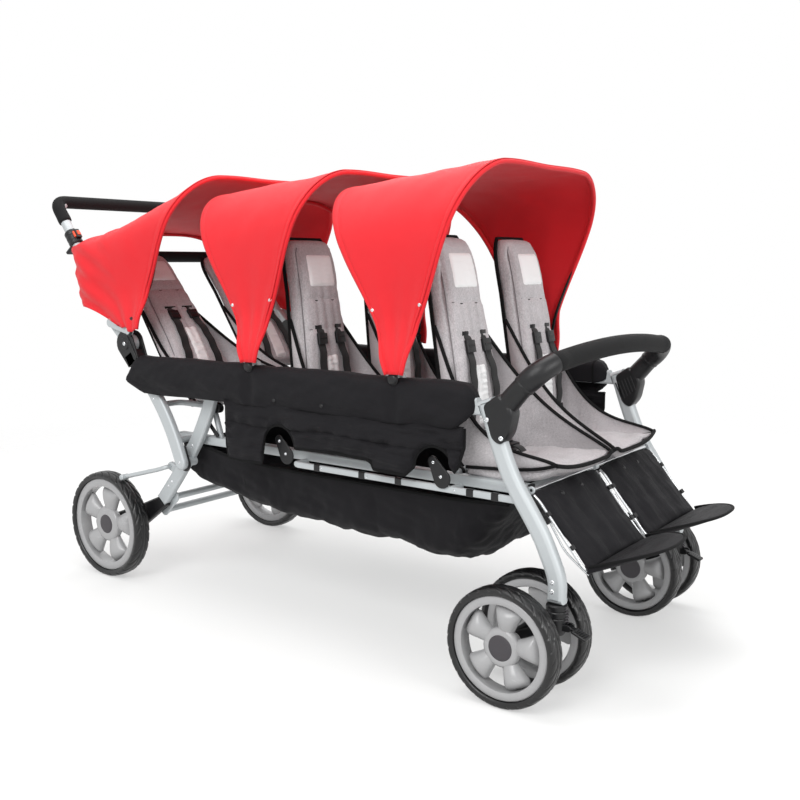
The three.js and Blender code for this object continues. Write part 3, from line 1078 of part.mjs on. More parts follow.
const handlePath = (inset) => {
  const start = at(HANDLE.topX, 0, HANDLE.topZ).addScaledVector(handleLine, -GRIP.overlap);
  const run = (side) => [
    start.clone().addScaledVector(handleLine, -inset).setY(side * SIDE_PLANE),
    at(HANDLE.topX, side * SIDE_PLANE, HANDLE.topZ),
    at(HANDLE.barX, side * SIDE_PLANE, HANDLE.barZ),
  ];
  const tubeRun = [...run(RIGHT), ...run(LEFT).reverse()];
  return bent(tubeRun, HANDLE.bendRadius);
};

// The soft grip round the top of the handle
function handleGrip() {
  const sleeve = rod(handlePath(0), GRIP.radius);
  const core = rod(handlePath(CUT_OVERRUN), HANDLE.tubeRadius + RUNNING_GAP);
  return sleeve.subtract(core);
}

// A padded bar between the handle tubes, behind the rear seats
function crossBar() {
  const middle = onHandle(CROSS_BAR_REACH);
  const halfLength = SIDE_PLANE - HANDLE.tubeRadius - TOUCH_GAP;
  return pinY(middle.x, middle.z, CROSS_BAR.radius, -halfLength, halfLength, TUBE_FACETS);
}

// The cuffs that slide up the handle tubes to free the fold
const besideHandle = new THREE.Vector3(handleLine.z, 0, -handleLine.x);
const cuffPlace = (side, alongTube, beside, outward) => onHandle(CUFF_REACH + alongTube)
  .setY(side * (SIDE_PLANE + outward)).addScaledVector(besideHandle, beside);

function tiltedBlock(side, centre, along, beside, outward) {
  const geometry = new THREE.BoxGeometry(beside, outward, along);
  geometry.rotateY(Math.atan2(handleLine.x, handleLine.z));
  geometry.translate(centre.x, centre.y, centre.z);
  return solid(geometry);
}

const cuffFace = CUFF.outerRadius + CUFF.bossReach;

function releaseCuff(side) {
  const half = CUFF.length / 2;
  const ends = [cuffPlace(side, -half, 0, 0), cuffPlace(side, half, 0, 0)];
  const cutEnds = [cuffPlace(side, -half - CUT_OVERRUN, 0, 0), cuffPlace(side, half + CUT_OVERRUN, 0, 0)];
  const wall = CUFF.outerRadius - HANDLE.tubeRadius;
  const lever = tiltedBlock(side, cuffPlace(side, -half + CUFF.leverThickness / 2, -HANDLE.tubeRadius
    - wall / 2 - CUFF.leverDrop / 2, 0), CUFF.leverThickness, CUFF.leverDrop + wall / 2, CUFF.leverWidth);
  const boss = tiltedBlock(side, cuffPlace(side, 0, CUFF.outerRadius, 0), CUFF.bossLength, 2 * CUFF.bossReach,
    CUFF.bossWidth);
  let body = union(rod(ends, CUFF.outerRadius), lever, boss);
  body = body.subtract(rod(cutEnds, HANDLE.tubeRadius + RUNNING_GAP));
  if (side === RIGHT) {
    const pocket = tiltedBlock(side, cuffPlace(side, 0, cuffFace, 0), BUTTON.length + 2 * BUTTON.clearance,
      2 * BUTTON.depth, BUTTON.width + 2 * BUTTON.clearance);
    body = body.subtract(pocket);
  }
  return body;
}

function releaseButton() {
  const depth = BUTTON.depth - BUTTON.proud - TOUCH_GAP;
  const middle = cuffFace + (BUTTON.proud - depth) / 2;
  return tiltedBlock(RIGHT, cuffPlace(RIGHT, 0, middle, 0), BUTTON.length, BUTTON.proud + depth, BUTTON.width);
}

add('handle_tube', handleTube(), silverPaint);
add('handle_grip', handleGrip(), blackFoam);
add('handle_cross_bar', crossBar(), blackFoam);
for (const side of SIDES) add(`release_cuff_${sideName(side)}`, releaseCuff(side), blackPlastic);
add('release_button', releaseButton(), orangePlastic);

// Bumper bar and the brackets it plugs into
const collarDirection = new THREE.Vector3(BUMPER.elbowX - BUMPER.collarX, 0, BUMPER.elbowZ - BUMPER.collarZ)
  .normalize();
const collarPlace = (side, reach) => at(BUMPER.collarX, side * SIDE_PLANE, BUMPER.collarZ)
  .addScaledVector(collarDirection, reach);

function bumperBar() {
  const run = (side) => [
    collarPlace(side, TOUCH_GAP),
    at(BUMPER.elbowX, side * SIDE_PLANE, BUMPER.elbowZ),
    at(BUMPER.frontX, side * (SIDE_PLANE - BUMPER.inset), BUMPER.frontZ),
  ];
  const bar = rod(bent([...run(RIGHT), ...run(LEFT).reverse()], BUMPER.bendRadius), BUMPER.tubeRadius);
  const grip = pinY(BUMPER.frontX, BUMPER.frontZ, BUMPER.gripRadius, -BUMPER.gripHalf, BUMPER.gripHalf,
    TUBE_FACETS);
  const spigots = SIDES.map((side) => rod([collarPlace(side, -BUMPER.spigotLength),
    collarPlace(side, BUMPER.tubeRadius)], BUMPER.spigotRadius, PIN_FACETS));
  return union(bar, grip, ...spigots);
}

function bumperBracket(side) {
  const outline = [[BRACKET.backX, BRACKET.backZ], [BRACKET.heelX, BRACKET.heelZ], [BRACKET.lowX, BRACKET.lowZ],
    [BRACKET.toeX, BRACKET.toeZ],
    [BUMPER.collarX + collarDirection.z * BRACKET.collarRadius,
      BUMPER.collarZ - collarDirection.x * BRACKET.collarRadius],
    [BUMPER.collarX - collarDirection.z * BRACKET.collarRadius,
      BUMPER.collarZ + collarDirection.x * BRACKET.collarRadius]];
  const around = span(side, LEG_INNER - TOUCH_GAP, LEG_OUTER + TOUCH_GAP);
  const body = plate(outline, ...span(side, BUMPER.bracketInner, BUMPER.bracketOuter), TUBE_ROUNDING);
  const legCut = plate(frontLegBand(TOUCH_GAP), ...around);
  const headCut = block(UPPER_RAIL.rearX, FRONT_LEG.headX + BRACKET.headReach, ...around, UPPER_RAIL.middleZ
    - UPPER_RAIL.height / 2 - TOUCH_GAP, FRONT_LEG.headZ + UPPER_RAIL.height);
  const socket = rod([collarPlace(side, -BUMPER.spigotLength - RUNNING_GAP), collarPlace(side, CUT_OVERRUN)],
    BUMPER.spigotRadius + RUNNING_GAP, PIN_FACETS);
  return body.subtract(legCut).subtract(headCut).subtract(socket);
}

add('bumper_bar', bumperBar(), blackFoam);
for (const side of SIDES) add(`bumper_bracket_${sideName(side)}`, bumperBracket(side), blackPlastic);

// The whole stroller is centred along X over the ground
const bounds = new THREE.Box3().setFromObject(group);
group.position.x = -(bounds.min.x + bounds.max.x) / 2;
group.updateMatrixWorld(true);

export default group;
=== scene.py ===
# %% [markdown]
# A six-seat stroller, dressed in Blender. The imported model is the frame: it gives every piece its place and
# its body. Shapes are worked out here as numpy grids in millimetres from the rear axle, then moved into the
# frame in metres, because the sizes on the real stroller are easiest to read that way.
# %% Open the frame
import json
import math

import bmesh
import bpy
import numpy as np
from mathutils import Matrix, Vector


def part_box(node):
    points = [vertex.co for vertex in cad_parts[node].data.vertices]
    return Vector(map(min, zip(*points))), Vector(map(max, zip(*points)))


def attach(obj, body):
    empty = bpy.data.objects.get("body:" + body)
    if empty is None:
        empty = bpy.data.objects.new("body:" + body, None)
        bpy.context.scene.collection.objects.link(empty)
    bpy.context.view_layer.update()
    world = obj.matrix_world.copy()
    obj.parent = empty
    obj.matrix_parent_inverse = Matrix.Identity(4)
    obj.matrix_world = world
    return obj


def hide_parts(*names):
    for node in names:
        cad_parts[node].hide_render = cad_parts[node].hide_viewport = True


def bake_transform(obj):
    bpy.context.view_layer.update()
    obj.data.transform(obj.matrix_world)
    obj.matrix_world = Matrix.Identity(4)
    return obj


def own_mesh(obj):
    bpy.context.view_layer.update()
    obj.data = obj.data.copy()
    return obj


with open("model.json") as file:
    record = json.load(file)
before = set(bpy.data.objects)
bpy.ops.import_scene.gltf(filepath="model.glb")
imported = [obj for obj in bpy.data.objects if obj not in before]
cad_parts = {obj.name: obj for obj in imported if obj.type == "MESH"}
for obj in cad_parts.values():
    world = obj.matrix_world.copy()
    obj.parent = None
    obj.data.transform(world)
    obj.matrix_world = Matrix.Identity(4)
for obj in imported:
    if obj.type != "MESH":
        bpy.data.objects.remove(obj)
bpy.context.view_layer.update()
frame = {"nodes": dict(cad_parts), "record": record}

for leftover in ("Cube", "Camera", "Light"):
    if leftover in bpy.data.objects:
        bpy.data.objects.remove(bpy.data.objects[leftover])
MM = 0.001
axle_low, axle_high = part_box("rear_tyre_left")
AXLE_X = (axle_low.x + axle_high.x) / 2
REAR_AXLE_Z = (axle_low.z + axle_high.z) / 2 / MM
front_low, front_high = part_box("front_tyre_outer_left")
FRONT_AXLE_X = ((front_low.x + front_high.x) / 2 - AXLE_X) / MM
FRONT_AXLE_Z = (front_low.z + front_high.z) / 2 / MM
SIDES = {"right": -1, "left": 1}
SEAT_Y, FOOT_Y, RAIL_Y, TUBE_Y = 155, 156, 255, 324  # middles of a seat, a footrest, a seat rail and a side tube
UP = (0, 0, 1)
scene = bpy.context.scene
slots = {entry["node"]: entry["material_slot"] for entry in frame["record"]["subparts"]}


def place(points):
    """Millimetres from the rear axle as metres in the frame: scale all three, then shift along X."""
    return np.asarray(points, float) * MM + [AXLE_X, 0.0, 0.0]


# %% [markdown]
# Almost everything on a stroller is a line with a thickness, a turned shape, or a skin between lines. Curves
# drawn by hand in the viewport would do, but three small functions give lines that pass through measured
# places and can be corrected by changing one number.
# %% Lines
def even(line, count):
    """The same line with its points at even distances: measure the length so far, then look places up by length."""
    line = np.asarray(line, float)
    length = np.r_[0, np.cumsum(np.linalg.norm(np.diff(line, axis=0), axis=1))]
    wanted = np.linspace(0, length[-1], count)
    return np.stack([np.interp(wanted, length, line[:, k]) for k in range(line.shape[1])], axis=1)


def curve(points, count):
    """A smooth line through the points: cubic pieces whose slope at a point is the weighted mean of its chords."""
    p = np.asarray(points, float)
    step = np.maximum(np.linalg.norm(np.diff(p, axis=0), axis=1), 1e-9)
    chord = np.diff(p, axis=0) / step[:, None]
    slope = np.repeat(chord[:1], len(p), axis=0)
    slope[-1] = chord[-1]
    slope[1:-1] = (chord[:-1] * step[1:, None] + chord[1:] * step[:-1, None]) / (step[1:] + step[:-1])[:, None]
    along = np.r_[0, np.cumsum(step)]
    s = np.linspace(0, along[-1], max(6 * count, 200))
    i = np.clip(np.searchsorted(along, s, side="right") - 1, 0, len(step) - 1)
    u = ((s - along[i]) / step[i])[:, None]
    h = step[i][:, None]
    dense = ((2 * u**3 - 3 * u**2 + 1) * p[i] + (u**3 - 2 * u**2 + u) * h * slope[i]
             + (3 * u**2 - 2 * u**3) * p[i + 1] + (u**3 - u**2) * h * slope[i + 1])
    return even(dense, count)


def mirrored(right, count):
    """A smooth line through a right half that ends in the middle plane, and through its mirror image."""
    right = np.array(right, float)
    return curve(np.concatenate([right, (right * [1, -1, 1])[::-1][1:]]), count)


def bends(corners, radius, steps=9):
    """Straight runs with round bends: each corner gives way to a quadratic curve that starts a radius before it."""
    c = np.asarray(corners, float)
    u = np.linspace(0, 1, steps)[:, None]
    runs = [c[:1]]
    for before, here, after in zip(c, c[1:], c[2:]):
        back, ahead = before - here, after - here
        reach = min(radius, 0.45 * np.linalg.norm(back), 0.45 * np.linalg.norm(ahead))
        start, end = here + back / np.linalg.norm(back) * reach, here + ahead / np.linalg.norm(ahead) * reach
        runs.append((1 - u) ** 2 * start + 2 * u * (1 - u) * here + u**2 * end)
    return np.concatenate(runs + [c[-1:]])


def circle(radius, count=20):
    """Points round a circle, as a section for a tube."""
    a = np.linspace(0, 2 * np.pi, count, endpoint=False)
    return np.stack([np.cos(a), np.sin(a)], 1) * radius


def rounded(width, height, radius, steps=5):
    """A rectangle with round corners, as a section: four quarter circles about the inner corners."""
    a = np.linspace(0, np.pi / 2, steps)
    x, y = width / 2 - radius, height / 2 - radius
    turns = [(x, y, a), (-x, y, a + np.pi / 2), (-x, -y, a + np.pi), (x, -y, a + 1.5 * np.pi)]
    return np.concatenate([np.stack([cx + radius * np.cos(t), cy + radius * np.sin(t)], 1) for cx, cy, t in turns])


def sweep(path, section, across):
    """A section carried along a path: path + section x times a sideways axis + section y times the third axis."""
    path, section, across = (np.asarray(v, float) for v in (path, section, across))
    t = np.gradient(path, axis=0)
    t /= np.linalg.norm(t, axis=1)[:, None]
    a = across - (t @ across)[:, None] * t
    a /= np.linalg.norm(a, axis=1)[:, None]
    b = np.cross(t, a)
    section = section if section.ndim == 3 else section[None]
    return path[:, None] + section[..., :1] * a[:, None] + section[..., 1:] * b[:, None]


def skin(lines, rows, columns):
    """A smooth skin over several lines: each line resampled evenly, then uniform cubics across from line to line."""
    keys = np.stack([even(line, columns) for line in lines])
    slope = np.gradient(keys, axis=0)
    s = np.linspace(0, len(keys) - 1, rows)
    i = np.minimum(s.astype(int), len(keys) - 2)
    u = (s - i)[:, None, None]
    return ((2 * u**3 - 3 * u**2 + 1) * keys[i] + (u**3 - 2 * u**2 + u) * slope[i]
            + (3 * u**2 - 2 * u**3) * keys[i + 1] + (u**3 - u**2) * slope[i + 1])


def ripple(points, size, seed):
    """Gentle seeded noise between about -1 and 1: cosines in random directions, each octave finer and weaker."""
    rng = np.random.default_rng(seed)
    total = np.zeros(points.shape[:-1])
    for octave in range(3):
        way = rng.normal(size=(5, 3))
        way *= (2 * np.pi / size * 1.9**octave) / np.linalg.norm(way, axis=1)[:, None]
        total += np.cos(points @ way.T + rng.uniform(0, 6.28, 5)).sum(-1) * 0.55**octave
    return total / 3.2


def faces_out(grid):
    """Unit normals of a grid of places: the row direction crossed with the column direction."""
    n = np.cross(np.gradient(grid, axis=0), np.gradient(grid, axis=1))
    return n / np.maximum(np.linalg.norm(n, axis=-1, keepdims=True), 1e-9)


print("lines: even, curve, mirrored, bends, sweep, skin, ripple")


# %% [markdown]
# A grid of places becomes a mesh here. The UV map holds real lengths in metres along the rows and columns, so
# that a weave or a thread has the same size on every piece. Doubles are merged before the normals are
# recalculated, because seams and poles would otherwise stay open. The flat end of a bar or plate is a row of
# quads and not one large polygon, because a long bent polygon is easily cut into triangles that fold over.
# %% Grids to meshes
def patch(grid, round_rows=False, round_columns=False, lids=False):
    """Quads between neighbours of a grid, lengths as UV; a lid is a zip of quads from its first point to its last."""
    grid = np.asarray(grid, float)
    rows, columns = grid.shape[:2]
    i = np.arange(rows if round_rows else rows - 1)
    j = np.arange(columns if round_columns else columns - 1)
    i, j = (v.ravel() for v in np.meshgrid(i, j, indexing="ij"))
    corners = [(i, j), (i, j + 1), (i + 1, j + 1), (i + 1, j)]
    faces = np.stack([(r % rows) * columns + c % columns for r, c in corners], 1)
    step_u = np.linalg.norm(np.diff(grid, axis=1, append=grid[:, :1]), axis=-1).mean(0)
    step_v = np.linalg.norm(np.diff(grid, axis=0, append=grid[:1]), axis=-1).mean(1)
    u, v = np.r_[0, np.cumsum(step_u)] * MM, np.r_[0, np.cumsum(step_v)] * MM
    uv = np.stack([np.stack([u[c], v[r]], 1) for r, c in corners], 1).reshape(-1, 2)
    faces, walls = faces.tolist(), len(faces)
    if lids:
        for base, row in ((0, grid[0]), ((rows - 1) * columns, grid[-1])):
            for j in range((columns - 1) // 2):
                quad = list(dict.fromkeys([j, j + 1, columns - 2 - j, columns - 1 - j]))
                faces.append([base + k for k in quad])
                uv = np.concatenate([uv, (row[quad][:, [0, 2]] + row[quad][:, [1, 1]]) * MM])
    return grid.reshape(-1, 3), faces, uv, len(faces) - walls


def flat_plate(outline, y_low, y_high, rounding=3.0, steps=4):
    """A plate in the XZ plane with rounded rims: rings of the outline moved inward as they near each face."""
    o = np.asarray(outline, float)
    step = np.linalg.norm(o - np.roll(o, 1, 0), axis=1)
    o = o[step > 1e-3]
    tangent = np.roll(o, -1, 0) - np.roll(o, 1, 0)
    area = np.sum(o[:, 0] * np.roll(o[:, 1], -1) - np.roll(o[:, 0], -1) * o[:, 1])
    inward = np.stack([-tangent[:, 1], tangent[:, 0]], 1) * np.sign(area)
    inward /= np.linalg.norm(inward, axis=1)[:, None]
    a = np.linspace(0, np.pi / 2, steps)
    inset = rounding * np.r_[1 - np.sin(a), 1 - np.cos(a)]
    y = np.r_[y_low + rounding * (1 - np.cos(a)), y_high - rounding * (1 - np.sin(a))]
    flat = o[None] + inset[:, None, None] * inward[None]
    ring = np.stack([flat[..., 0], np.broadcast_to(y[:, None], flat.shape[:2]), flat[..., 1]], -1)
    return patch(ring, round_columns=True, lids=True)


def ribbon(points, width, count, round_start=True, round_end=True, widths=None):
    """The outline of a band along a smooth line: the line moved half a width each way, with round or square ends."""
    line = curve(points, count)
    t = np.gradient(line, axis=0)
    t /= np.linalg.norm(t, axis=1)[:, None]
    n = np.stack([-t[:, 1], t[:, 0]], 1)
    width = np.full(count, width) if widths is None else np.interp(np.linspace(0, 1, count), *widths)
    half = width[:, None] / 2
    a = np.linspace(-np.pi / 2, np.pi / 2, 11)[1:-1]

    def cap(k, turn):
        angle = math.atan2(t[k, 1], t[k, 0]) + turn + a
        return line[k] + half[k] * np.stack([np.cos(angle), np.sin(angle)], 1)

    parts = [line - n * half, cap(-1, 0) if round_end else np.empty((0, 2)), (line + n * half)[::-1],
             cap(0, np.pi) if round_start else np.empty((0, 2))]
    return np.roll(np.concatenate(parts), len(parts[-1]) // 2, axis=0)


def turned(profile, centre, outward, sides, round_rows=False):
    """A profile of radius and sideways distance turned round an axle along Y."""
    profile = np.asarray(profile, float)
    a = np.linspace(0, 2 * np.pi, sides, endpoint=False)
    r, off = profile[:, :1], profile[:, 1:]
    ring = np.stack([centre[0] + r * np.cos(a), centre[1] + outward * off + 0 * a, centre[2] + r * np.sin(a)], -1)
    return patch(ring, round_rows=round_rows, round_columns=True)


def tube(path, section, across=(0, 1, 0)):
    """A closed bar: a section swept along a path with its ends shut."""
    return patch(sweep(path, section, across), round_columns=True, lids=True)


def pin(x, z, radius, y_low, y_high, sides=28, edge=0.8):
    """A straight round pin along Y with softened rims, as a turned profile."""
    e = min(edge, radius / 2, abs(y_high - y_low) / 2)
    profile = [(0, y_low), (radius - e, y_low), (radius, y_low + e), (radius, y_high - e), (radius - e, y_high),
               (0, y_high)]
    return turned(profile, (x, 0, z), 1, sides)


def closed_pair(front, rear):
    """Two sheets with the same rims as one closed loop of columns: along the front, and back along the rear."""
    return np.concatenate([front, rear[:, ::-1][:, 1:-1]], 1)


def piece(name, patches, finish, body=None, stands_for=(), wall=0.0, soft=0, sharp=None, offset=0.0, blend=None):
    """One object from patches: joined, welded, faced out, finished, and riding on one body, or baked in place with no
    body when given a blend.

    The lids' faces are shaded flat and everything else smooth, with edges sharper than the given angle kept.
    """
    verts, faces, uvs, flat, base = [], [], [], [], 0
    for places, quads, uv, lid_faces in patches:
        verts.append(place(places))
        flat += [False] * (len(quads) - lid_faces) + [True] * lid_faces
        faces += [[k + base for k in quad] for quad in quads]
        uvs.append(uv)
        base += len(places)
    mesh = bpy.data.meshes.new(name)
    mesh.from_pydata(np.concatenate(verts).tolist(), [], faces)
    mesh.uv_layers.new(name="Lengths").data.foreach_set("uv", np.concatenate(uvs).astype(np.float32).ravel())
    mesh.attributes.new("lid", "BOOLEAN", "FACE").data.foreach_set("value", flat)
    work = bmesh.new()
    work.from_mesh(mesh)
    bmesh.ops.remove_doubles(work, verts=work.verts, dist=2e-6)
    bmesh.ops.recalc_face_normals(work, faces=work.faces)
    work.to_mesh(mesh)
    work.free()
    mesh.materials.append(finish)
    mesh.shade_smooth()
    if sharp is not None:
        mesh.set_sharp_from_angle(angle=math.radians(sharp))
    lid = np.zeros(len(mesh.polygons), bool)
    mesh.attributes["lid"].data.foreach_get("value", lid)
    mesh.polygons.foreach_set("use_smooth", ~lid)
    mesh.attributes.remove(mesh.attributes["lid"])
    made = bpy.data.objects.new(name, mesh)
    scene.collection.objects.link(made)
    if wall:
        thick = made.modifiers.new("Wall", "SOLIDIFY")
        thick.thickness, thick.offset = wall * MM, offset
    if soft:
        smooth = made.modifiers.new("Smooth", "SUBSURF")
        smooth.levels = smooth.render_levels = soft
    if stands_for:
        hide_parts(*stands_for)
    if blend:
        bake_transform(made)
    elif body:
        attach(made, body)
    return made


def solids(name, patches, finish, body=None, stands_for=(), sharp=35, blend=None):
    """A hard piece: as piece(), with edges sharper than the given angle kept crisp."""
    return piece(name, patches, finish, body, stands_for, sharp=sharp, blend=blend)


print("meshes: patch, flat_plate, ribbon, turned, tube, pin, closed_pair, piece, solids")


# %% [markdown]
# Materials are built as expressions. A Wire wraps one shader socket and understands + and *, so a pattern reads
# like the sum it is; Nodes.node adds any other node, also for the world's light. What changes over a surface
# only feeds colour, roughness and bump, because those are what an exported model can carry.
# %% Shader expressions
class Wire:
    """One output socket with arithmetic: each operator adds a Math node and returns its output."""

    def __init__(self, owner, socket):
        self.owner, self.socket = owner, socket

    def math(self, operation, *values):
        return self.owner.node("ShaderNodeMath", {"operation": operation}, dict(enumerate(values)))

    def __add__(self, other):
        return self.math("ADD", self, other)

    def __mul__(self, other):
        return self.math("MULTIPLY", self, other)

    def sine(self):
        return self.math("SINE", self)

    def highest(self, other):
        return self.math("MAXIMUM", self, other)

    def within(self, low, high):
        """0 below low, 1 above high, and a smooth ramp between."""
        return self.owner.node("ShaderNodeMapRange", {"interpolation_type": "SMOOTHSTEP"},
                               {0: self, 1: low, 2: high, 3: 0.0, 4: 1.0})


def shade(code):
    """A written screen colour such as 'c3c8ca' as the linear values that a shader wants."""
    c = np.array([int(code[k:k + 2], 16) for k in (0, 2, 4)]) / 255
    return tuple(np.where(c <= 0.04045, c / 12.92, ((c + 0.055) / 1.055) ** 2.4).tolist()) + (1.0,)


class Nodes:
    """A node tree under construction: feed() sets or links a socket, and node() adds any node."""

    def __init__(self, tree):
        self.tree = tree

    def feed(self, socket, value):
        if isinstance(value, Wire):
            self.tree.links.new(value.socket, socket)
        else:
            socket.default_value = value

    def node(self, kind, settings=None, sockets=None, output=0):
        made = self.tree.nodes.new(kind)
        for key, value in (settings or {}).items():
            setattr(made, key, value)
        for key, value in (sockets or {}).items():
            self.feed(made.inputs[key], value)
        return Wire(self, made.outputs[output])


class Finish(Nodes):
    """One material: a Principled shader whose sockets are set by name, and the patterns that feed it."""

    def __init__(self, name, code, roughness, metallic=0.0, **extra):
        self.material = bpy.data.materials.new(name)
        self.material.use_nodes = True
        super().__init__(self.material.node_tree)
        self.shader = self.tree.nodes["Principled BSDF"]
        self.colour = shade(code)
        self.set("Base Color", self.colour)
        self.set("Roughness", roughness)
        self.set("Metallic", metallic)
        for socket, value in extra.items():
            self.set(socket.replace("_", " "), value)

    def set(self, socket, value):
        self.feed(self.shader.inputs[socket], value)

    def where(self, kind="Object"):
        """Object coordinates, or the UV map of lengths."""
        if kind == "UV":
            return self.node("ShaderNodeUVMap", {"uv_map": "Lengths"})
        return self.node("ShaderNodeTexCoord", output="Object")

    def axes(self, vector):
        split = self.node("ShaderNodeSeparateXYZ", sockets={0: vector})
        return [Wire(self, split.socket.node.outputs[k]) for k in range(3)]

    def noise(self, vector, scale, detail=2.0, rough=0.5):
        return self.node("ShaderNodeTexNoise", sockets={"Vector": vector, "Scale": scale, "Detail": detail,
                                                        "Roughness": rough})

    def stretched(self, vector, by):
        return self.node("ShaderNodeVectorMath", {"operation": "MULTIPLY"}, {0: vector, 1: by})

    def mix(self, share, a, b):
        """Colour a where share is 0 and b where it is 1."""
        return self.node("ShaderNodeMix", {"data_type": "RGBA"}, {0: share, 6: a, 7: b}, output=2)

    def bump(self, height, distance, strength=1.0):
        self.set("Normal", self.node("ShaderNodeBump", sockets={"Height": height, "Distance": distance,
                                                                 "Strength": strength}))


def toned(colour, by):
    """A colour made lighter or darker by a factor."""
    return tuple(min(1.0, c * by) for c in colour[:3]) + (1.0,)


print("shader expressions ready")

# %% [markdown]
# The cloths. The seats are a heathered grey: two yarns, one pale and one darker, so the colour runs in short
# streaks both ways. The canopies are a plain red polyester and the covers a dull black one. All share a weave,
# whose bump is two sine waves multiplied, and a soft crumple from noise in the object's own space. A filled pad
# loses its UV map when it is remeshed, so its weave is read through space instead.
# %% Cloth finishes
TURN = 6.2832  # one whole turn in radians, so a sine of x * TURN / width repeats every width


def cloth(name, code, roughness, thread, streak, crumple, sheen=0.15, shine=0.25, solid=False, yarns=1400):
    """Woven cloth over UV lengths or, when solid, through space: yarn streaks as colour, weave and crumples as bump.

    Thread is the width of one wave in metres, yarns the streaks in a metre, and streak, crumple and sheen amounts.
    """
    f = Finish(name, code, roughness, Sheen_Weight=sheen, Sheen_Roughness=0.5, Specular_IOR_Level=shine)
    here = f.where()
    over = here if solid else f.where("UV")
    x, y, z = f.axes(over)
    x = x + z if solid else x
    weave = (x * (TURN / thread)).sine() * (y * (TURN / thread)).sine()
    long = yarns / 5  # a streak is five times as long as it is wide
    warp = f.noise(f.stretched(over, (long, yarns, long) if solid else (yarns, long, 1)), 1.0, 2.0, 0.6)
    weft = f.noise(f.stretched(over, (yarns, long, yarns) if solid else (long, yarns, 1)), 1.0, 2.0, 0.6)
    cloudy = f.noise(here, 9.0, 3.0)
    yarn = (warp + weft) * 0.5 * 0.8 + cloudy * 0.2
    f.set("Base Color", f.mix(yarn.within(0.36, 0.64), toned(f.colour, 1 - streak), toned(f.colour, 1 + streak)))
    soft = f.noise(here, 16.0, 4.0, 0.55)
    f.bump(weave * 0.06 + yarn * 0.14 + soft * crumple, 0.004, 0.5)
    return f.material


red_cloth = cloth("red canopy cloth", "e01824", 0.6, 0.0011, 0.05, 0.9, sheen=0.1, shine=0.35)
grey_cloth = cloth("grey heather cloth", "bdb9bb", 0.9, 0.0016, 0.24, 0.7, yarns=900)
grey_pad_cloth = cloth("grey heather pad cloth", "bdb9bb", 0.9, 0.0016, 0.24, 0.7, solid=True, yarns=900)
seam_thread = cloth("grey seam thread", "7f7b7d", 0.9, 0.0012, 0.1, 0.3)
black_cloth = cloth("black cover cloth", "161518", 0.66, 0.0012, 0.10, 1.2, sheen=0.02, shine=0.14)
tape_cloth = cloth("black binding tape", "0c0c0d", 0.8, 0.0009, 0.12, 0.3, sheen=0.02, shine=0.15)
label_cloth = cloth("blank label cloth", "fafafa", 0.75, 0.0012, 0.03, 0.8, sheen=0.05)
print("cloths:", [made.name for made in (red_cloth, grey_cloth, black_cloth, tape_cloth, label_cloth)])


# %% [markdown]
# The hard finishes. Silver tubes are sprayed, so their shine breaks up a little; moulded plastic has a fine
# spark grain; foam is a dull skin with pores; rubber is dusty in patches. Each is the plain
# shader with one or two noises, which is enough at arm's length.
# %% Hard finishes
def sprayed(name, code, roughness, metallic):
    """Sprayed metal: flakes in the colour, clouds in the shine, and a faint orange peel."""
    f = Finish(name, code, roughness, metallic)
    here = f.where()
    flake = f.noise(here, 1800.0, 1.0)
    cloud = f.noise(here, 11.0, 3.0)
    f.set("Base Color", f.mix(flake.within(0.35, 0.65), toned(f.colour, 0.95), toned(f.colour, 1.04)))
    f.set("Roughness", cloud * 0.14 + (roughness - 0.07))
    f.bump(f.noise(here, 260.0, 2.0) * 0.5, 0.0004, 0.35)
    return f.material


def moulded(name, code, roughness, grain=700.0, depth=0.0005, scuffs=0.5, shine=0.5):
    """Moulded plastic: a fine grain as bump, and scuffs that lighten and dull it."""
    f = Finish(name, code, roughness, Specular_IOR_Level=shine)
    here = f.where()
    scuff = f.noise(f.stretched(here, (1.0, 1.0, 3.0)), 22.0, 6.0, 0.65).within(0.52, 0.75) * scuffs
    f.set("Base Color", f.mix(scuff, f.colour, toned(f.colour, 1.35)))
    f.set("Roughness", scuff * 0.2 + roughness)
    f.bump(f.noise(here, grain, 2.0), depth, 0.5)
    return f.material


def webbing(name, code):
    """Woven strap: ribs across its length from one sine, softened by noise; the same sine darkens the colour in the
    grooves and lightens it on the tops of the ribs, as painted shade and painted highlight.
    """
    f = Finish(name, code, 0.75, Sheen_Weight=0.2, Specular_IOR_Level=0.3)
    x, y, _ = f.axes(f.where("UV"))
    rib_and_painted_shade = (y * (TURN / 0.0024)).sine()
    # Painted shade and painted highlight: the colour is darker in the grooves and lighter on the tops of the ribs, in
    # step with the bump.
    f.set("Base Color", f.mix(rib_and_painted_shade.within(-1.0, 1.0), toned(f.colour, 0.75), toned(f.colour, 1.25)))
    f.bump(rib_and_painted_shade * 0.5 + f.noise(f.where(), 300.0) * 0.5, 0.0006, 0.6)
    return f.material


def rubber(name, code):
    """Tyre rubber: dull and a little dusty, with a fine mould texture."""
    f = Finish(name, code, 0.5, Specular_IOR_Level=0.5)
    here = f.where()
    dust = f.noise(here, 30.0, 5.0, 0.6).within(0.45, 0.75)
    f.set("Base Color", f.mix(dust, f.colour, toned(f.colour, 1.6)))
    f.set("Roughness", dust * 0.2 + 0.3)
    f.bump(f.noise(here, 420.0, 3.0), 0.0006, 0.4)
    return f.material


silver = sprayed("silver painted steel", "b9bec0", 0.48, 0.25)
bright_steel = sprayed("bright steel", "d6d8da", 0.24, 1.0)
black_plastic = moulded("black moulded plastic", "0e0e10", 0.38, shine=0.4)
dark_cap = moulded("dark grey hub plastic", "3a373b", 0.5)
rim_plastic = moulded("grey rim plastic", "a3a3a4", 0.24, scuffs=0.25)
orange_plastic = moulded("orange button plastic", "e2502c", 0.45, scuffs=0.2)
black_foam = moulded("black foam", "0f0f10", 0.8, grain=1300.0, depth=0.0009, scuffs=0.2, shine=0.25)
strap_web = webbing("black webbing", "0d0d0e")
tyre_rubber = rubber("black tyre rubber", "0c0c0d")
print("hard finishes ready")

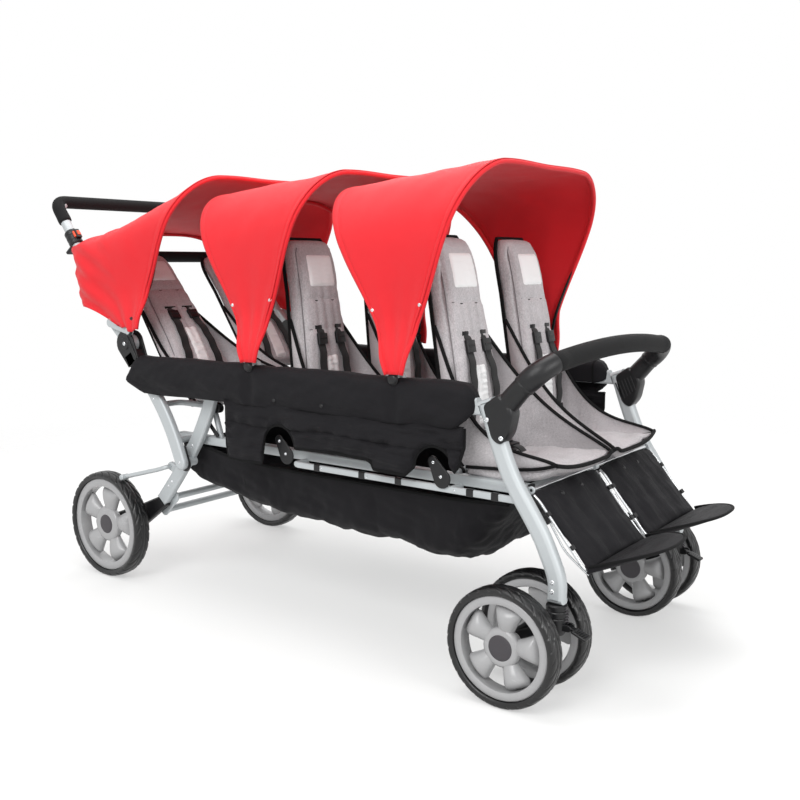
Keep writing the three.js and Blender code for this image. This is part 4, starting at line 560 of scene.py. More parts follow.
# %% [markdown]
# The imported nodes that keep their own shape, such as the rails inside the covers, get these finishes too, by the
# slot that the record names for each. A colour slot is what the record calls a part's paint, cloth or plastic.
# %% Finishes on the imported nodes
by_slot = {"silver_paint": silver, "black_plastic": black_plastic, "black_foam": black_foam,
           "black_cloth": black_cloth, "red_cloth": red_cloth, "grey_cloth": grey_cloth, "tyre": tyre_rubber,
           "rim_plastic": rim_plastic, "orange_plastic": orange_plastic}
for node, slot in slots.items():
    cad_mesh = frame["nodes"][node].data
    cad_mesh.materials.clear()
    cad_mesh.materials.append(by_slot[slot])
print("slots:", sorted(by_slot))

# %% [markdown]
# Camera, floor and light. The camera was solved from the wheels in the photograph. The floor is a pale sheet,
# partly see-through so that its shadow stays light, and more so with distance, so that no horizon shows. The
# lamps are large and soft, and sized so that a colour looks about as it is written. Seen directly, by a shiny
# surface or through a clear one, the world is white; what it sheds on the object is little more than half that.
# %% Camera, floor and light
camera = bpy.data.objects.new("Camera", bpy.data.cameras.new("Camera"))
camera.location = place([2289.7, -2024.9, 896.2])
camera.rotation_euler = (math.radians(90 - 8.08), 0, math.radians(36.41))
camera.data.lens, camera.data.sensor_width = 43.70, 36.0
scene.collection.objects.link(camera)
scene.camera = camera
scene.view_settings.view_transform = "Standard"

ground = Finish("pale floor", "f4f4f3", 0.75, Specular_IOR_Level=0.1)
gx, gy, _ = ground.axes(ground.where())
gone = (gx * gx + gy * gy).within(2.6, 12.0) * 0.55 + 0.45  # clear share, by the distance squared
clear = ground.node("ShaderNodeBsdfTransparent")
fade = ground.node("ShaderNodeMixShader", sockets={0: gone, 1: Wire(ground, ground.shader.outputs[0]), 2: clear})
ground.tree.links.new(fade.socket, ground.tree.nodes["Material Output"].inputs["Surface"])
ground.set("Base Color", ground.mix(ground.noise(ground.where(), 1.2, 4.0), shade("f2f2f1"), shade("f7f7f6")))
floor_mesh = bpy.data.meshes.new("floor")
floor_mesh.from_pydata([(-9, -9, 0), (9, -9, 0), (9, 9, 0), (-9, 9, 0)], [], [(0, 1, 2, 3)])
floor_mesh.materials.append(ground.material)
floor = bpy.data.objects.new("floor", floor_mesh)
scene.collection.objects.link(floor)


def softbox(name, where, size, power):
    """A large square lamp that looks at the stroller's middle."""
    lamp = bpy.data.objects.new(name, bpy.data.lights.new(name, "AREA"))
    lamp.data.size, lamp.data.energy = size, power
    lamp.location = where
    away = np.array(where) - [0.0, 0.0, 0.5]
    lamp.rotation_euler = (math.acos(away[2] / np.linalg.norm(away)), 0, math.atan2(away[1], away[0]) + math.pi / 2)
    scene.collection.objects.link(lamp)


softbox("key", (0.9, -3.6, 3.2), 2.4, 128)
softbox("top", (-0.4, 0.3, 4.2), 3.0, 92)
softbox("front", (4.0, -0.6, 2.0), 2.0, 58)
softbox("left", (-1.5, 3.6, 2.6), 2.4, 40)
world = bpy.data.worlds.new("studio")
scene.world = world
world.use_nodes = True
air = Nodes(world.node_tree)
rays = air.node("ShaderNodeLightPath").socket.node.outputs
seen, shiny, through = (Wire(air, rays[f"Is {kind} Ray"]) for kind in ("Camera", "Glossy", "Transmission"))
brightness = air.node("ShaderNodeMapRange", sockets={0: seen.highest(shiny.highest(through)), 3: 0.56, 4: 1.0})
sky = air.tree.nodes["Background"]
air.feed(sky.inputs["Color"], (1, 1, 1, 1))
air.feed(sky.inputs["Strength"], brightness)
print("camera at", [round(v, 3) for v in camera.location])


# %% [markdown]
# Wheels. The tyre is one closed profile turned round the axle, with the tread pressed in by a wave that runs
# slanted across the crown. The rim is a turned ring and hub with five fat spokes: each spoke is a pillow
# section lofted from hub to ring, so that the windows between them stay truly open.
# %% Wheels
def tyre(centre, radius, width, bore, outward):
    """Tyre profile turned round the axle; slanted grooves are cut by the narrow parts of a sine."""
    h, wall = width / 2, radius - bore
    profile = curve([(bore - 1, 0.55 * h), (bore + 0.5, 0.9 * h), (bore + 0.4 * wall, h),
                     (radius - 0.28 * wall, 0.97 * h), (radius - 0.07 * wall, 0.72 * h), (radius, 0.3 * h),
                     (radius, -0.3 * h), (radius - 0.07 * wall, -0.72 * h), (radius - 0.28 * wall, -0.97 * h),
                     (bore + 0.4 * wall, -h), (bore + 0.5, -0.9 * h), (bore - 1, -0.55 * h)], 44)
    a = np.linspace(0, 2 * np.pi, 480, endpoint=False)
    r, off = profile[:, :1], profile[:, 1:]
    wave = np.sin(14 * a[None] + 0.16 * np.abs(off) * 24 / h)  # 14 waves round, slanted outwards
    groove = np.exp(-(wave / 0.24) ** 2)
    tread = np.clip((r - (radius - 0.5 * wall)) / (0.25 * wall), 0, 1) * np.clip(np.abs(off) / (0.25 * h) - 0.4, 0, 1)
    ringed = np.exp(-((np.abs(off) - 0.22 * h) / 1.2) ** 2) * (r > radius - 0.2 * wall)
    r = r - 3.0 * groove * tread - 1.6 * ringed
    lobe = 1 - 0.12 * groove * np.clip(1 - (radius - 0.1 * wall - r) / (0.6 * wall), 0, 1)
    grid = np.stack([centre[0] + r * np.cos(a), centre[1] + outward * off * lobe, centre[2] + r * np.sin(a)], -1)
    return patch(grid, round_rows=True, round_columns=True)


def rim(centre, bore, width, outward, inner_reach):
    """Ring and hub as turned profiles and five pillow spokes lofted between them."""
    face, face_in, hub = 0.4 * width, 0.83 * bore, 0.38 * bore
    ring_profile = [(bore - 0.6, face - 3), (bore - 4, face), (face_in + 3, face + 0.5), (face_in, face - 1.5),
                    (face_in - 0.5, -face + 3), (face_in + 2, -face), (bore - 3, -face), (bore - 0.6, -face + 2)]
    hub_profile = [(0, 12), (25.6, 12), (28.6, 13), (hub - 6, 12.4), (hub - 1.5, 10), (hub, 5), (hub, -5),
                   (hub - 3, -8), (18, -9.5), (17, -inner_reach), (0, -inner_reach)]
    parts = [turned(ring_profile, centre, outward, 90, round_rows=True), turned(hub_profile, centre, outward, 60)]
    s = np.linspace(0, 1, 26)[:, None]
    a = np.linspace(0, 2 * np.pi, 36, endpoint=False)[None]
    reach = hub - 12 + s * (face_in - hub + 13)
    half = (0.15 + 0.125 * np.clip(s / 0.75, 0, 1) ** 1.3 - 0.05 * np.clip((s - 0.7) / 0.3, 0, 1) ** 2) * bore
    top = 9 + 13.5 * np.sin(np.pi * np.clip(s, 0, 1) ** 1.25) ** 0.8 - 17 * np.clip((s - 0.62) / 0.38, 0, 1) ** 2.2
    lift = np.where(np.sin(a) > 0, top * np.abs(np.sin(a)) ** 1.1, -9.0 * np.abs(np.sin(a)) ** 0.5) - 1.0
    side = half * np.cos(a)
    for k in range(5):
        turn = math.radians(80 + 72 * k)
        out, over = np.array([math.cos(turn), math.sin(turn)]), np.array([-math.sin(turn), math.cos(turn)])
        grid = np.stack([centre[0] + reach * out[0] + side * over[0], centre[1] + outward * lift + 0 * side,
                         centre[2] + reach * out[1] + side * over[1]], -1)
        parts.append(patch(grid, round_columns=True, lids=True))
    return parts


def wheel(end, spot, x, y, radius, width, bore, outward, inner_reach):
    """Tyre, rim and hub cap of one wheel that stands on the floor, so its radius is its axle's height."""
    centre, body = (x, y, radius), f"{end}_wheel_{spot}"
    piece(f"tyre_{end}_{spot}", [tyre(centre, radius, width, bore, outward)], tyre_rubber, body,
          [f"{end}_tyre_{spot}"])
    solids(f"rim_{end}_{spot}", rim(centre, bore, width, outward, inner_reach), rim_plastic, body,
           [f"{end}_rim_{spot}"], sharp=50)
    cap = [(0, 14.6), (18, 14.3), (25, 13.6), (27.4, 12.4), (27.6, 9)]
    piece(f"hub_cap_{end}_{spot}", [turned(cap, centre, outward, 48)], dark_cap, body)


for side, s in SIDES.items():
    wheel("rear", side, 0, s * 330, REAR_AXLE_Z, width=48, bore=133.6, outward=s, inner_reach=33.0)
    for twin, e in (("inner", -s), ("outer", s)):
        wheel("front", f"{twin}_{side}", FRONT_AXLE_X, s * TUBE_Y + e * 67, FRONT_AXLE_Z, width=44, bore=110,
              outward=e, inner_reach=44.0)
print("wheels: 6 tyres, 6 rims, 6 caps")

# %% [markdown]
# Casters, legs and lower tubes. The side frames are flat oval tubes, so each is an outline in the side plane
# given a thickness with rounded rims. The caster's stem is turned about an upright axis, with the rings of its
# rubber boot. Screws are small domes with a cross pressed in, as real geometry, because a glint on a real slot
# is what makes a fixing look like one.
# %% Casters, legs and lower tubes
def screw(x, z, face, outward, radius):
    """A cross-head screw: a dome over a disc, less a cross whose two arms are narrow bell curves."""
    r = np.linspace(0, 1, 12)[:, None] * radius
    a = np.linspace(0, 2 * np.pi, 40, endpoint=False)[None]
    u, v = r * np.cos(a), r * np.sin(a)
    dome = 2.4 * np.sqrt(np.clip(1 - (r / radius) ** 2, 0, 1)) + 0 * a
    cross = np.exp(-(np.minimum(np.abs(u), np.abs(v)) / 0.6) ** 2) * np.clip(3.2 - 4.4 * r / radius, 0, 1)
    return patch(np.stack([x + u, face + outward * (dome - 1.4 * cross - 0.3), z + v], -1), round_columns=True)


def upright(profile, x, y):
    """A profile of radius and height turned round an upright axis."""
    p = np.asarray(profile, float)
    a = np.linspace(0, 2 * np.pi, 40, endpoint=False)
    ring = np.stack([x + p[:, :1] * np.cos(a), y + p[:, :1] * np.sin(a), p[:, 1:] + 0 * a], -1)
    return patch(ring, round_columns=True)


def across(side_sign, inner, outer):
    """Lower and higher Y of something that lies between two distances from the middle plane."""
    return tuple(sorted((side_sign * inner, side_sign * outer)))


def slab_of(line, width, side_sign, inner, outer, rounding, ends=(True, True), widths=None):
    """A flat tube along a smooth line in a side plane."""
    outline = ribbon(line, width, 60, ends[0], ends[1], widths)
    return flat_plate(outline, *across(side_sign, inner, outer), rounding=rounding)


leg_line = [(1257, 617), (1314, 470), (1404, 322), (1428, 258), (1428, 217)]
push_line = [(137, 642), (149, 622), (207, 552), (256, 484), (289, 422), (312, 366)]
rear_line = [(400, 592), (389, 540), (352, 459), (259, 327), (184, 237)]
turns = np.linspace(0, 5 * 2 * np.pi, 120)
for side, s in SIDES.items():
    y = s * TUBE_Y
    solids(f"front_leg_{side}", [slab_of(leg_line, 36, s, 310, 338, 9.0, (False, False))], silver, "frame",
           [f"front_leg_{side}"])
    screws = [screw(px, pz, s * 338, s, 5.4) for px, pz in ((1423, 261), (1423, 242))]
    screws += [screw(px, pz, s * 345.2, s, 5.4) for px, pz in ((1270, 577), (1304, 542))]
    screws += [screw(px, pz, s * 334, s, 4.2) for px, pz in ((216, 532), (313, 368))]
    solids(f"frame_screws_{side}", screws, bright_steel, "frame")
    head = [(0, 216), (19, 216), (22, 213), (22, 204), (20.5, 202), (22, 200), (22, 190), (20.5, 188), (22, 186),
            (22, 172), (20, 158), (16, 152), (0, 152)]
    arm = slab_of([(1417, 185), (1344, FRONT_AXLE_Z)], 38, s, TUBE_Y - 22, TUBE_Y + 22, 7.0)
    gusset = slab_of([(1420, 170), (1352, 138)], 20, s, TUBE_Y - 24, TUBE_Y + 24, 4.0)
    axle = pin(1344, FRONT_AXLE_Z, 6, y - 59, y + 59)
    ears = [slab_of([(1428, 171), (1458, 171)], 14, s, TUBE_Y + a, TUBE_Y + b, 1.2, (False, True))
            for a, b in ((6.8, 10.8), (-10.8, -6.8))]
    solids(f"caster_{side}", [upright(head, 1428, y), arm, gusset, axle] + ears, black_plastic, f"caster_{side}",
           [f"caster_fork_{side}"])
    coil = np.stack([1449 + 4.5 * np.cos(turns), y + 4.5 * np.sin(turns), 178 + turns / (10 * np.pi) * 30], 1)
    solids(f"caster_spring_{side}", [tube(coil, circle(1.2, 8), UP), screw(1424, 205, y + s * 20, s, 4.5)],
           dark_cap, f"caster_{side}")
    pad = slab_of([(1469, 166.7), (1496, 156)], 6, s, TUBE_Y - 13, TUBE_Y + 13, 2.0)
    shank = slab_of([(1458, 171), (1470, 166.5)], 8, s, TUBE_Y - 6.4, TUBE_Y + 6.4, 1.5)
    ribs = [pin(1471 + 5 * k, 168.6 - 2 * k, 1.7, y - 12, y + 12, 10) for k in range(6)]
    solids(f"pedal_{side}", [pad, shank] + ribs, black_plastic, f"pedal_{side}", [f"caster_pedal_{side}"])
    solids(f"push_tube_{side}", [slab_of(push_line, 38, s, 314, 334, 6.0, (False, True))], silver, "frame",
           [f"lower_push_tube_{side}"])
    liner = slab_of([(298, 404), (314, 362)], 42, s, 312.2, 315, 1.2, (False, True))
    solids(f"push_tube_liner_{side}", [liner], black_plastic, "frame")
    leg = [slab_of(rear_line, 38, s, 275, 295, 6.0, (True, False)),
           slab_of([(259, 327), (225, 340)], 24, s, 279, 291, 3.0), pin(312, 366, 13, *across(s, 279, 312))]
    solids(f"rear_leg_{side}", leg, silver, "rear_legs", [f"rear_leg_{side}"])
    rivets = [screw(px, pz, s * 295, s, 4.5) for px, pz in ((233, 299), (219, 285), (321, 409))]
    solids(f"rear_leg_screws_{side}", rivets, bright_steel, "rear_legs")

ends = [slab_of([(219, 250), (175, 205)], 30, s, 268.7, 274.7, 2.0) for s in SIDES.values()]
solids("rear_cross_frame_tubes", ends + [pin(219, 250, 9, -271, 271), pin(175, 205, 9, -271, 271)], silver,
       "rear_legs", ["rear_cross_frame"])
half = [(72, 328, 296.5), (196, 307, 330), (225, 307, 340)]
brake_path = bends([(x, -y, z) for x, y, z in half] + half[::-1], 16)
shoes = [pin(72, 296.5, 8, *across(s, 315, 341), edge=2) for s in SIDES.values()]
solids("brake_rod", [tube(brake_path, circle(6), (-0.32, 0, 0.95))] + shoes, silver, "brake", ["brake_bar"])
print("legs, casters, pedals, cross frame and brake")

# %% [markdown]
# The seat frame under the cushions is a welded ladder. It hardly shows, but its silver line runs the length of
# the stroller between the panel and the basket, with black clamp plates in the two arches of the panel.
# %% Seat frame
frame_parts, clamps, fixings = [], [], []
for side, s in SIDES.items():
    mid = s * RAIL_Y
    frame_parts.append(tube([(235, mid, 422), (780, mid, 422), (1326, mid, 422)], rounded(24, 24, 4)))
    frame_parts.append(tube([(711, s * 304.5, 408), (1000, s * 304.5, 408), (1335, s * 304.5, 408)],
                            rounded(9, 15, 2.5)))
    frame_parts += [pin(284, 422, 9, *across(s, 263, 313.7)), pin(1330, 422, 9, *across(s, 263, 309.7))]
    frame_parts += [pin(x + 20, 408, 7.5, *across(s, 263, 304)) for x in (685, 1137)]
    riser = bends([(396, mid, 424), (366, mid, 515), (229, mid, 515), (229, s * 313.7, 515)], 30)
    frame_parts.append(tube(riser, circle(8, 16), (0.5, 0.5, 0.7)))
    for x, z in ((658, 464), (1115, 467)):
        clamps.append(slab_of([(x, z), (x + 24, z - 36)], 30, s, 309.6, 314, 1.4, widths=([0, 1], [24, 44])))
        fixings += [screw(x + 2, z - 2, s * 314, s, 4.0), screw(x + 22, z - 32, s * 314, s, 4.0)]
    clamps.append(tube([(1325, mid, 422), (1329.5, mid, 422)], rounded(25, 25, 4)))
    for x in (768, 905, 1010, 1200, 1262):
        loop = np.array([(x, s * 304.5, 408), (x + 17, s * 304.5, 408)])
        clamps.append(tube(loop, rounded(11.4, 17.4, 3)))
    fixings += [screw(x, 408, s * 309, s, 3.2) for x in (790, 928, 1169)]
    knuckle = slab_of([(385, 512), (372, 517)], 26, s, 246, 266, 4.0)
    clamps += [knuckle, slab_of([(359, 475), (393, 441)], 12, s, 268, 272, 1.5)]
frame_parts += [pin(x, z, 8, -RAIL_Y, RAIL_Y) for x, z in ((262, 515), (685, 434), (1137, 434))]
frame_parts += [pin(1316, 422, 9, -RAIL_Y, RAIL_Y)]
for low, high in ((-8, 8), (296.3, 300.3), (-300.3, -296.3)):
    frame_parts.append(flat_plate(ribbon([(1316, 422), (1352, 433)], 16, 8), low, high, rounding=1.2))
solids("seat_ladder", frame_parts, silver, "frame", ["seat_frame"])
solids("seat_clamps", clamps, black_plastic, "frame")
solids("seat_fixings", fixings, bright_steel, "frame")
print("seat frame:", len(frame_parts), "bars,", len(clamps), "clamps")

# %% [markdown]
# The fold joint and the handle. The handle is a tube bent in one plane, so the sweep keeps the normal of that
# plane as its sideways axis. The soft grips swell slightly at their ends, as rolled foam does. The cuffs slide
# along the tube to let it fold, and the right one carries the lock button between two cheeks.
# %% Handle
handle_way = np.array([-230, 0, 306]) / math.hypot(230, 306)
beside = np.array([handle_way[2], 0, -handle_way[0]])
HANDLE_FOOT, CUFF_REACH = (72, 712), 313  # lower end of the bent tube, and from there to the middle of a cuff


def on_handle(reach, y=0.0):
    """A place on the straight run of the handle tube, at a distance from its lower end."""
    return np.array([HANDLE_FOOT[0], y, HANDLE_FOOT[1]]) + reach * handle_way


def bulged(path, radius, ends, swell, count=24):
    """Section circles for a sleeve: the radius falls near both ends by a quarter circle and swells just inside."""
    run = np.r_[0, np.cumsum(np.linalg.norm(np.diff(path, axis=0), axis=1))]
    near = np.minimum(run, run[-1] - run)
    closing = ends * (1 - np.sqrt(1 - (1 - np.clip(near / ends, 0, 1)) ** 2))
    r = radius - closing + swell * np.exp(-((near - 14) / 9) ** 2)
    return circle(1.0, count)[None] * r[:, None, None]


hinge_line = [(116, 676), (148, 624)]
for side, s in SIDES.items():
    shape = ribbon(hinge_line, 0, 30, True, False, ([0, 0.35, 1], [72, 64, 48]))
    cheeks = [flat_plate(shape, *across(s, a, b), rounding=2.0) for a, b in ((305.7, 311.7), (336.3, 342.3))]
    socket = slab_of([(132, 650), (148, 624)], 48, s, 305.7, 342.3, 4.0, (False, False))
    boss = pin(116, 676, 17, *across(s, 341, 345.4), edge=2)
    lug = slab_of([(120, 700), (158, 640)], 13, s, 341, 344.6, 1.5)
    solids(f"hinge_{side}", cheeks + [socket, boss, lug], black_plastic, "frame", [f"hinge_housing_{side}"])
    solids(f"hinge_rivet_{side}", [screw(116, 676, s * 345.4, s, 5.5)], bright_steel, "frame")

corners = [on_handle(0, -TUBE_Y), (-196, -TUBE_Y, 1068), (-196, TUBE_Y, 1068), on_handle(0, TUBE_Y)]
u_path = even(bends(corners, 52, 15), 150)
bars = [tube(u_path, circle(14, 28), beside)]
for side, s in SIDES.items():
    knuckle = across(s, 312.3, 335.7)
    bars += [slab_of([(116, 676), (62, 725.6)], 34, s, 312.3, 335.7, 4.0), pin(116, 676, 24, *knuckle),
             slab_of([(58, 731), (145, 712)], 24, s, 343, 347, 1.4), pin(58, 731, 11, *across(s, TUBE_Y, 346)),
             pin(145, 712, 4, *across(s, 345, 354)), pin(145, 712, 9, *across(s, 352.8, 356.3))]
solids("handle_bars", bars, silver, "handle", ["handle_tube"])
grip_corners = [on_handle(369.6, -TUBE_Y)] + corners[1:3] + [on_handle(369.6, TUBE_Y)]
grip_path = even(bends(grip_corners, 52, 15), 220)
piece("handle_foam", [tube(grip_path, bulged(grip_path, 18, 4, 0.6), beside)], black_foam, "handle",
      ["handle_grip"])
middle = on_handle(250.7)
bar_path = np.stack([middle + [0, t, 0] for t in np.linspace(-309, 309, 90)])
piece("cross_bar_foam", [tube(bar_path, bulged(bar_path, 16.6, 5, 0.4), (1, 0, 0))], black_foam, "handle",
      ["handle_cross_bar"])

for side, s in SIDES.items():
    y = s * TUBE_Y
    run = np.linspace(-23, 23, 24)
    ring = 18.6 + 1.4 * (np.abs(run) < 20) - 1.0 * np.exp(-((np.abs(run) - 8) / 1.6) ** 2)
    ring[[0, -1]] = 17.0
    body_path = np.stack([on_handle(CUFF_REACH + t, y) for t in run])
    boss = [on_handle(CUFF_REACH + t, y) + beside * 20 for t in (-13, 13)]
    lever = [on_handle(294.5, y) - beside * t for t in (14, 30, 43)]
    parts = [tube(body_path, circle(1.0, 32)[None] * ring[:, None, None], beside), tube(boss, rounded(16, 16, 3)),
             tube(lever, rounded(22, 9, 3))]
    solids(f"cuff_{side}", parts, black_plastic, f"cuff_{side}", [f"release_cuff_{side}"])
key = [on_handle(CUFF_REACH, -TUBE_Y) + beside * t for t in (25, 29.2, 30.4)]
key_sizes = np.stack([rounded(9, 14, 2) * k for k in (1, 1, 0.86)])
solids("button", [tube(key, key_sizes)], orange_plastic, "button", ["release_button"])
guard = [tube([on_handle(reach, -TUBE_Y + t) + beside * 20.5 for reach in (304, 322)], rounded(6, 6, 2))
         for t in (-9.2, 9.2)]
solids("button_guard", guard, orange_plastic, "cuff_right")
print("handle, cuffs and button")

# %% [markdown]
# The bumper bar: one line runs from a bracket up, forward and across to the other side. Its two arms are
# moulded, with a raised collar where each spigot enters, and the foam lies on what is between them. A radius that
# changes along the line gives the collar, the taper and the foam's end without any separate parts.
# %% Bumper bar
arm_way = np.array([63, 0, 70]) / math.hypot(63, 70)
start = np.array([1309, 0, 612])
plane = (0.743, 0, -0.669)
aside = np.linspace(1, 0, 7)[:, None]
sweep_round = np.concatenate([1400 - 12 * aside**2, 288 * aside, 714 - 20 * aside**2], 1)
left_run = np.concatenate([[start + [0, TUBE_Y, 0] + arm_way * 0.4, start + [0, TUBE_Y - 1, 0] + arm_way * 50,
                            (1372, 314, 678)], sweep_round])
whole = even(curve(np.concatenate([left_run * [1, -1, 1], left_run[-2::-1]]), 400), 400)
run = np.r_[0, np.cumsum(np.linalg.norm(np.diff(whole, axis=0), axis=1))]
near = np.minimum(run, run[-1] - run)
grip_from = 128.0
arms = []
for chosen in (run < grip_from + 4, run > run[-1] - grip_from - 4):
    line, reach = whole[chosen], near[chosen]
    r = 23.5 - 1.5 * np.clip(reach / 50, 0, 1) + 1.7 * np.exp(-((reach - 52) / 3.4) ** 4)
    r += 2.6 * (1 / (1 + np.exp(-(reach - 58) / 2.5))) - 2.4 * np.clip((reach - 80) / 50, 0, 1)
    arms.append(tube(line, circle(1.0, 32)[None] * r[:, None, None], plane))
    arms.append(tube([line[0 if chosen[0] else -1] + arm_way * t for t in (-20, 6)], circle(8, 16)))
solids("bumper_arms", arms, black_plastic, "bumper")
foam = whole[near > grip_from]
piece("bumper_foam", [tube(foam, bulged(foam, 21.4, 5, 0.5, 28), plane)], black_foam, "bumper", ["bumper_bar"])


def loop_of(corners, radius):
    """A closed outline with its corners rounded: quadratic curves between straight runs."""
    c = np.asarray(corners, float)
    closed = np.concatenate([[(c[-1] + c[0]) / 2], c, [(c[-1] + c[0]) / 2]])
    return bends(closed, radius, 7)[:-1]


for side, s in SIDES.items():
    outline = loop_of([(1258, 606), (1280, 537), (1300, 526), (1319, 548), (1330, 601), (1297, 634)], 18)
    ribs = [tube([(1262 + 8 * k, s * 304, 588 + 4 * k), (1282 + 7 * k, s * 304, 545 + 6 * k)], rounded(4, 2.4, 1))
            for k in range(6)]
    solids(f"bumper_bracket_plate_{side}", [flat_plate(outline, *across(s, 304, 345.4), rounding=7)] + ribs,
           black_plastic, "frame", [f"bumper_bracket_{side}"])
print("bumper bar and brackets")

# %% [markdown]
# Canopies. On the real stroller each is one panel of polyester, sewn round a wire at both ends and pulled tight
# by the bow that swings on a pivot. So each is one sheet here, ruled straight from the edge over the fixed rear
# wire to the edge over the front bow and drawn in a little at the sides, with stitched hems raised at both edges.
# A fold line between the fixed body and its bow is worked out so that the whole front edge would keep to the bow,
# but the cloth is only baked in place and bound to neither. At the pivots the cloth ends in a tongue that stands off
# the bow's foot.
# %% Canopies
CLOTH_OUT = 4.8  # the cloth lies this far outside the middle line of the wire in its hem
KNOB_Z = 645  # height of the pivots of the middle and front bows


def bow_line(half_width, top, low, shoulder, count=150):
    """Sideways distance and reach from the pivot: up from the foot, out, a quarter circle, level, and mirrored."""
    a = np.linspace(0, np.pi / 2, 12)
    arc = np.stack([half_width - shoulder * (1 - np.cos(a)), top - shoulder * (1 - np.sin(a))], 1)
    right = np.concatenate([[(351.5, low), (350, low + 28), (half_width, 104)], arc])
    left = (right * [-1, 1])[::-1]
    return even(curve(np.concatenate([right, [(0, top)], left]), 4 * count), count) * [-1, 1]


def over(half_width, top, low, shoulder):
    """The line of a bow moved out to the cloth that lies over it."""
    return bow_line(half_width + CLOTH_OUT, top + CLOTH_OUT, low, shoulder)


def fan_row(pivot, tilt, line, share, width=32.0, ahead=10.0):
    """A bow line tilted about the pivot; near the pivot the rows spread to a tongue and stand off the foot."""
    fade = np.clip(1 - line[:, 1] / 132, 0, 1)
    x = pivot[0] + line[:, 1] * math.sin(tilt) + ((share - 0.5) * width + ahead) * fade * (width > 0)
    y = line[:, 0] + np.sign(line[:, 0]) * 8 * fade
    z = pivot[1] + line[:, 1] * math.cos(tilt)
    return np.stack([x, y, z], -1)


def stitched(grid, shares, seed, pivot, folds=2.0):
    """Hems, creases and tension folds pushed along the normals of a canopy grid."""
    n = faces_out(grid)
    n *= np.sign((n * (grid - [pivot[0], 0, pivot[1]])).sum(-1, keepdims=True))
    edge = np.minimum(shares, 1 - shares)[:, None]
    hem = 1.1 / (1 + np.exp((edge - 0.036) / 0.002)) - 0.8 * np.exp(-((edge - 0.042) / 0.004) ** 2)
    reach = np.hypot(grid[..., 0] - pivot[0], grid[..., 2] - pivot[1])
    side = np.clip((np.abs(grid[..., 1]) - 200) / 120, 0, 1)
    spread = np.exp(-((reach - 70) / 130) ** 2) * side
    fan = np.cos(17 * shares[:, None] + 2.5 * np.sin(reach / 90)) * spread * folds
    inner = np.clip(edge / 0.12, 0, 1)
    crease = ripple(grid * [1, 1, 0.45], 230, seed) * 2.6 + ripple(grid * [0.5, 1, 1], 70, seed + 1) * 0.5
    near_foot = np.clip(reach / 110, 0.2, 1)
    return grid + n * (hem + (fan + crease) * inner * near_foot)[..., None]


def fold_line(pivot, front, rear, top):
    """Start and end of the blend: the distance behind the front edge's plane, from the far corner to the edge."""
    length = top * math.sin(front - rear)
    end = np.array([pivot[0], 0, pivot[1]])
    return end - length * np.array([math.cos(front), 0, -math.sin(front)]), end


hem_shares = np.r_[0, 0.015, 0.03, 0.036, 0.042, 0.05, np.linspace(0.08, 0.92, 34),
                   0.95, 0.958, 0.964, 0.97, 0.985, 1]  # closer rows where a hem is stitched


def dome(x, z, face, outward, radius, height):
    """A button head: height times the root of one less the squared radius, raised to a flatter power."""
    r = np.linspace(0, 1, 10)
    return turned(np.stack([r * radius, height * (1 - r**2.6) ** 0.5], 1), (x, face, z), outward, 36)


def bow(row, pivot, tilt, half_width, top):
    """The steel bow in its hem, with a round foot and a strut at each end, on the canopy's moving body."""
    line = fan_row(pivot, tilt, bow_line(half_width, top, 11, 160), 0.5, 0)
    reach = np.hypot(line[:, 0] - pivot[0], line[:, 2] - pivot[1])
    inward = 9.5 * (1 - np.exp(-((reach / 36) ** 2))) * np.exp(-((reach / 180) ** 2))
    line[:, 1] = np.sign(line[:, 1]) * (np.minimum(np.abs(line[:, 1]), 351.5) - inward)
    parts = [tube(line, circle(4, 12), (math.cos(tilt), 0, -math.sin(tilt)))]
    for s in SIDES.values():
        foot_end = (pivot[0] + 34 * math.sin(tilt), pivot[1] + 34 * math.cos(tilt))
        parts += [pin(pivot[0], pivot[1], 14, *across(s, 347.5, 352.5), edge=1.5),
                  slab_of([pivot, foot_end], 17, s, 347.5, 352.5, 1.6)]
    solids(f"bow_{row}", parts, black_plastic, f"canopy_bow_{row}", [f"canopy_bow_{row}"])


for row, pivot_x in (("middle", 595), ("front", 1035)):
    pivot, front, rear = (pivot_x, KNOB_Z), math.radians(21), math.radians(-30)
    bow_size, wire_size = (330, 498, 12, 160), (324, 490, 12, 175)
    ahead_edge = fan_row(pivot, front, over(*bow_size), 1)
    behind_edge = fan_row(pivot, rear, over(*wire_size), 0)
    mix = hem_shares[:, None, None]
    taut = behind_edge * (1 - mix) + ahead_edge * mix
    off_foot = np.clip(np.hypot(taut[..., 0] - pivot[0], taut[..., 2] - pivot[1]) / 132, 0, 1)
    taut[..., 1] *= 1 - 0.02 * np.sin(np.pi * hem_shares)[:, None] * off_foot
    grid = stitched(taut, hem_shares, 3 + pivot_x, pivot)
    begin, end = fold_line(pivot, front, rear, 490)
    link = ("frame", f"canopy_bow_{row}", begin, end)
    cover = piece(f"canopy_cloth_{row}", [patch(grid)], red_cloth, stands_for=[f"canopy_{row}"], wall=1.4,
                  offset=1.0, blend=link)
    hems = [tube(fan_row(pivot, tilt, bow_line(*size), share), circle(5.4, 14), (math.cos(tilt), 0, -math.sin(tilt)))
            for share, tilt, size in ((1, front, bow_size), (0, rear, wire_size))]
    hem = piece(f"canopy_hem_{row}", hems, red_cloth, blend=link)
    spots = [grid[at_row, column] for column in (16, -17) for at_row in (3, -4)]
    snaps = [dome(x, z, y, np.sign(y), 5, 2.6) for x, y, z in spots]
    snap = solids(f"canopy_snaps_{row}", snaps, bright_steel, blend=link)
    bow(row, pivot, front, *bow_size[:2])
    caps = [dome(pivot_x, KNOB_Z, s * 353, s, 12, 5) for s in SIDES.values()]
    caps += [pin(pivot_x, KNOB_Z, 12, *across(s, 352.6, 353.4)) for s in SIDES.values()]
    solids(f"canopy_knobs_{row}", caps, black_plastic, "frame")
print("middle and front canopies")

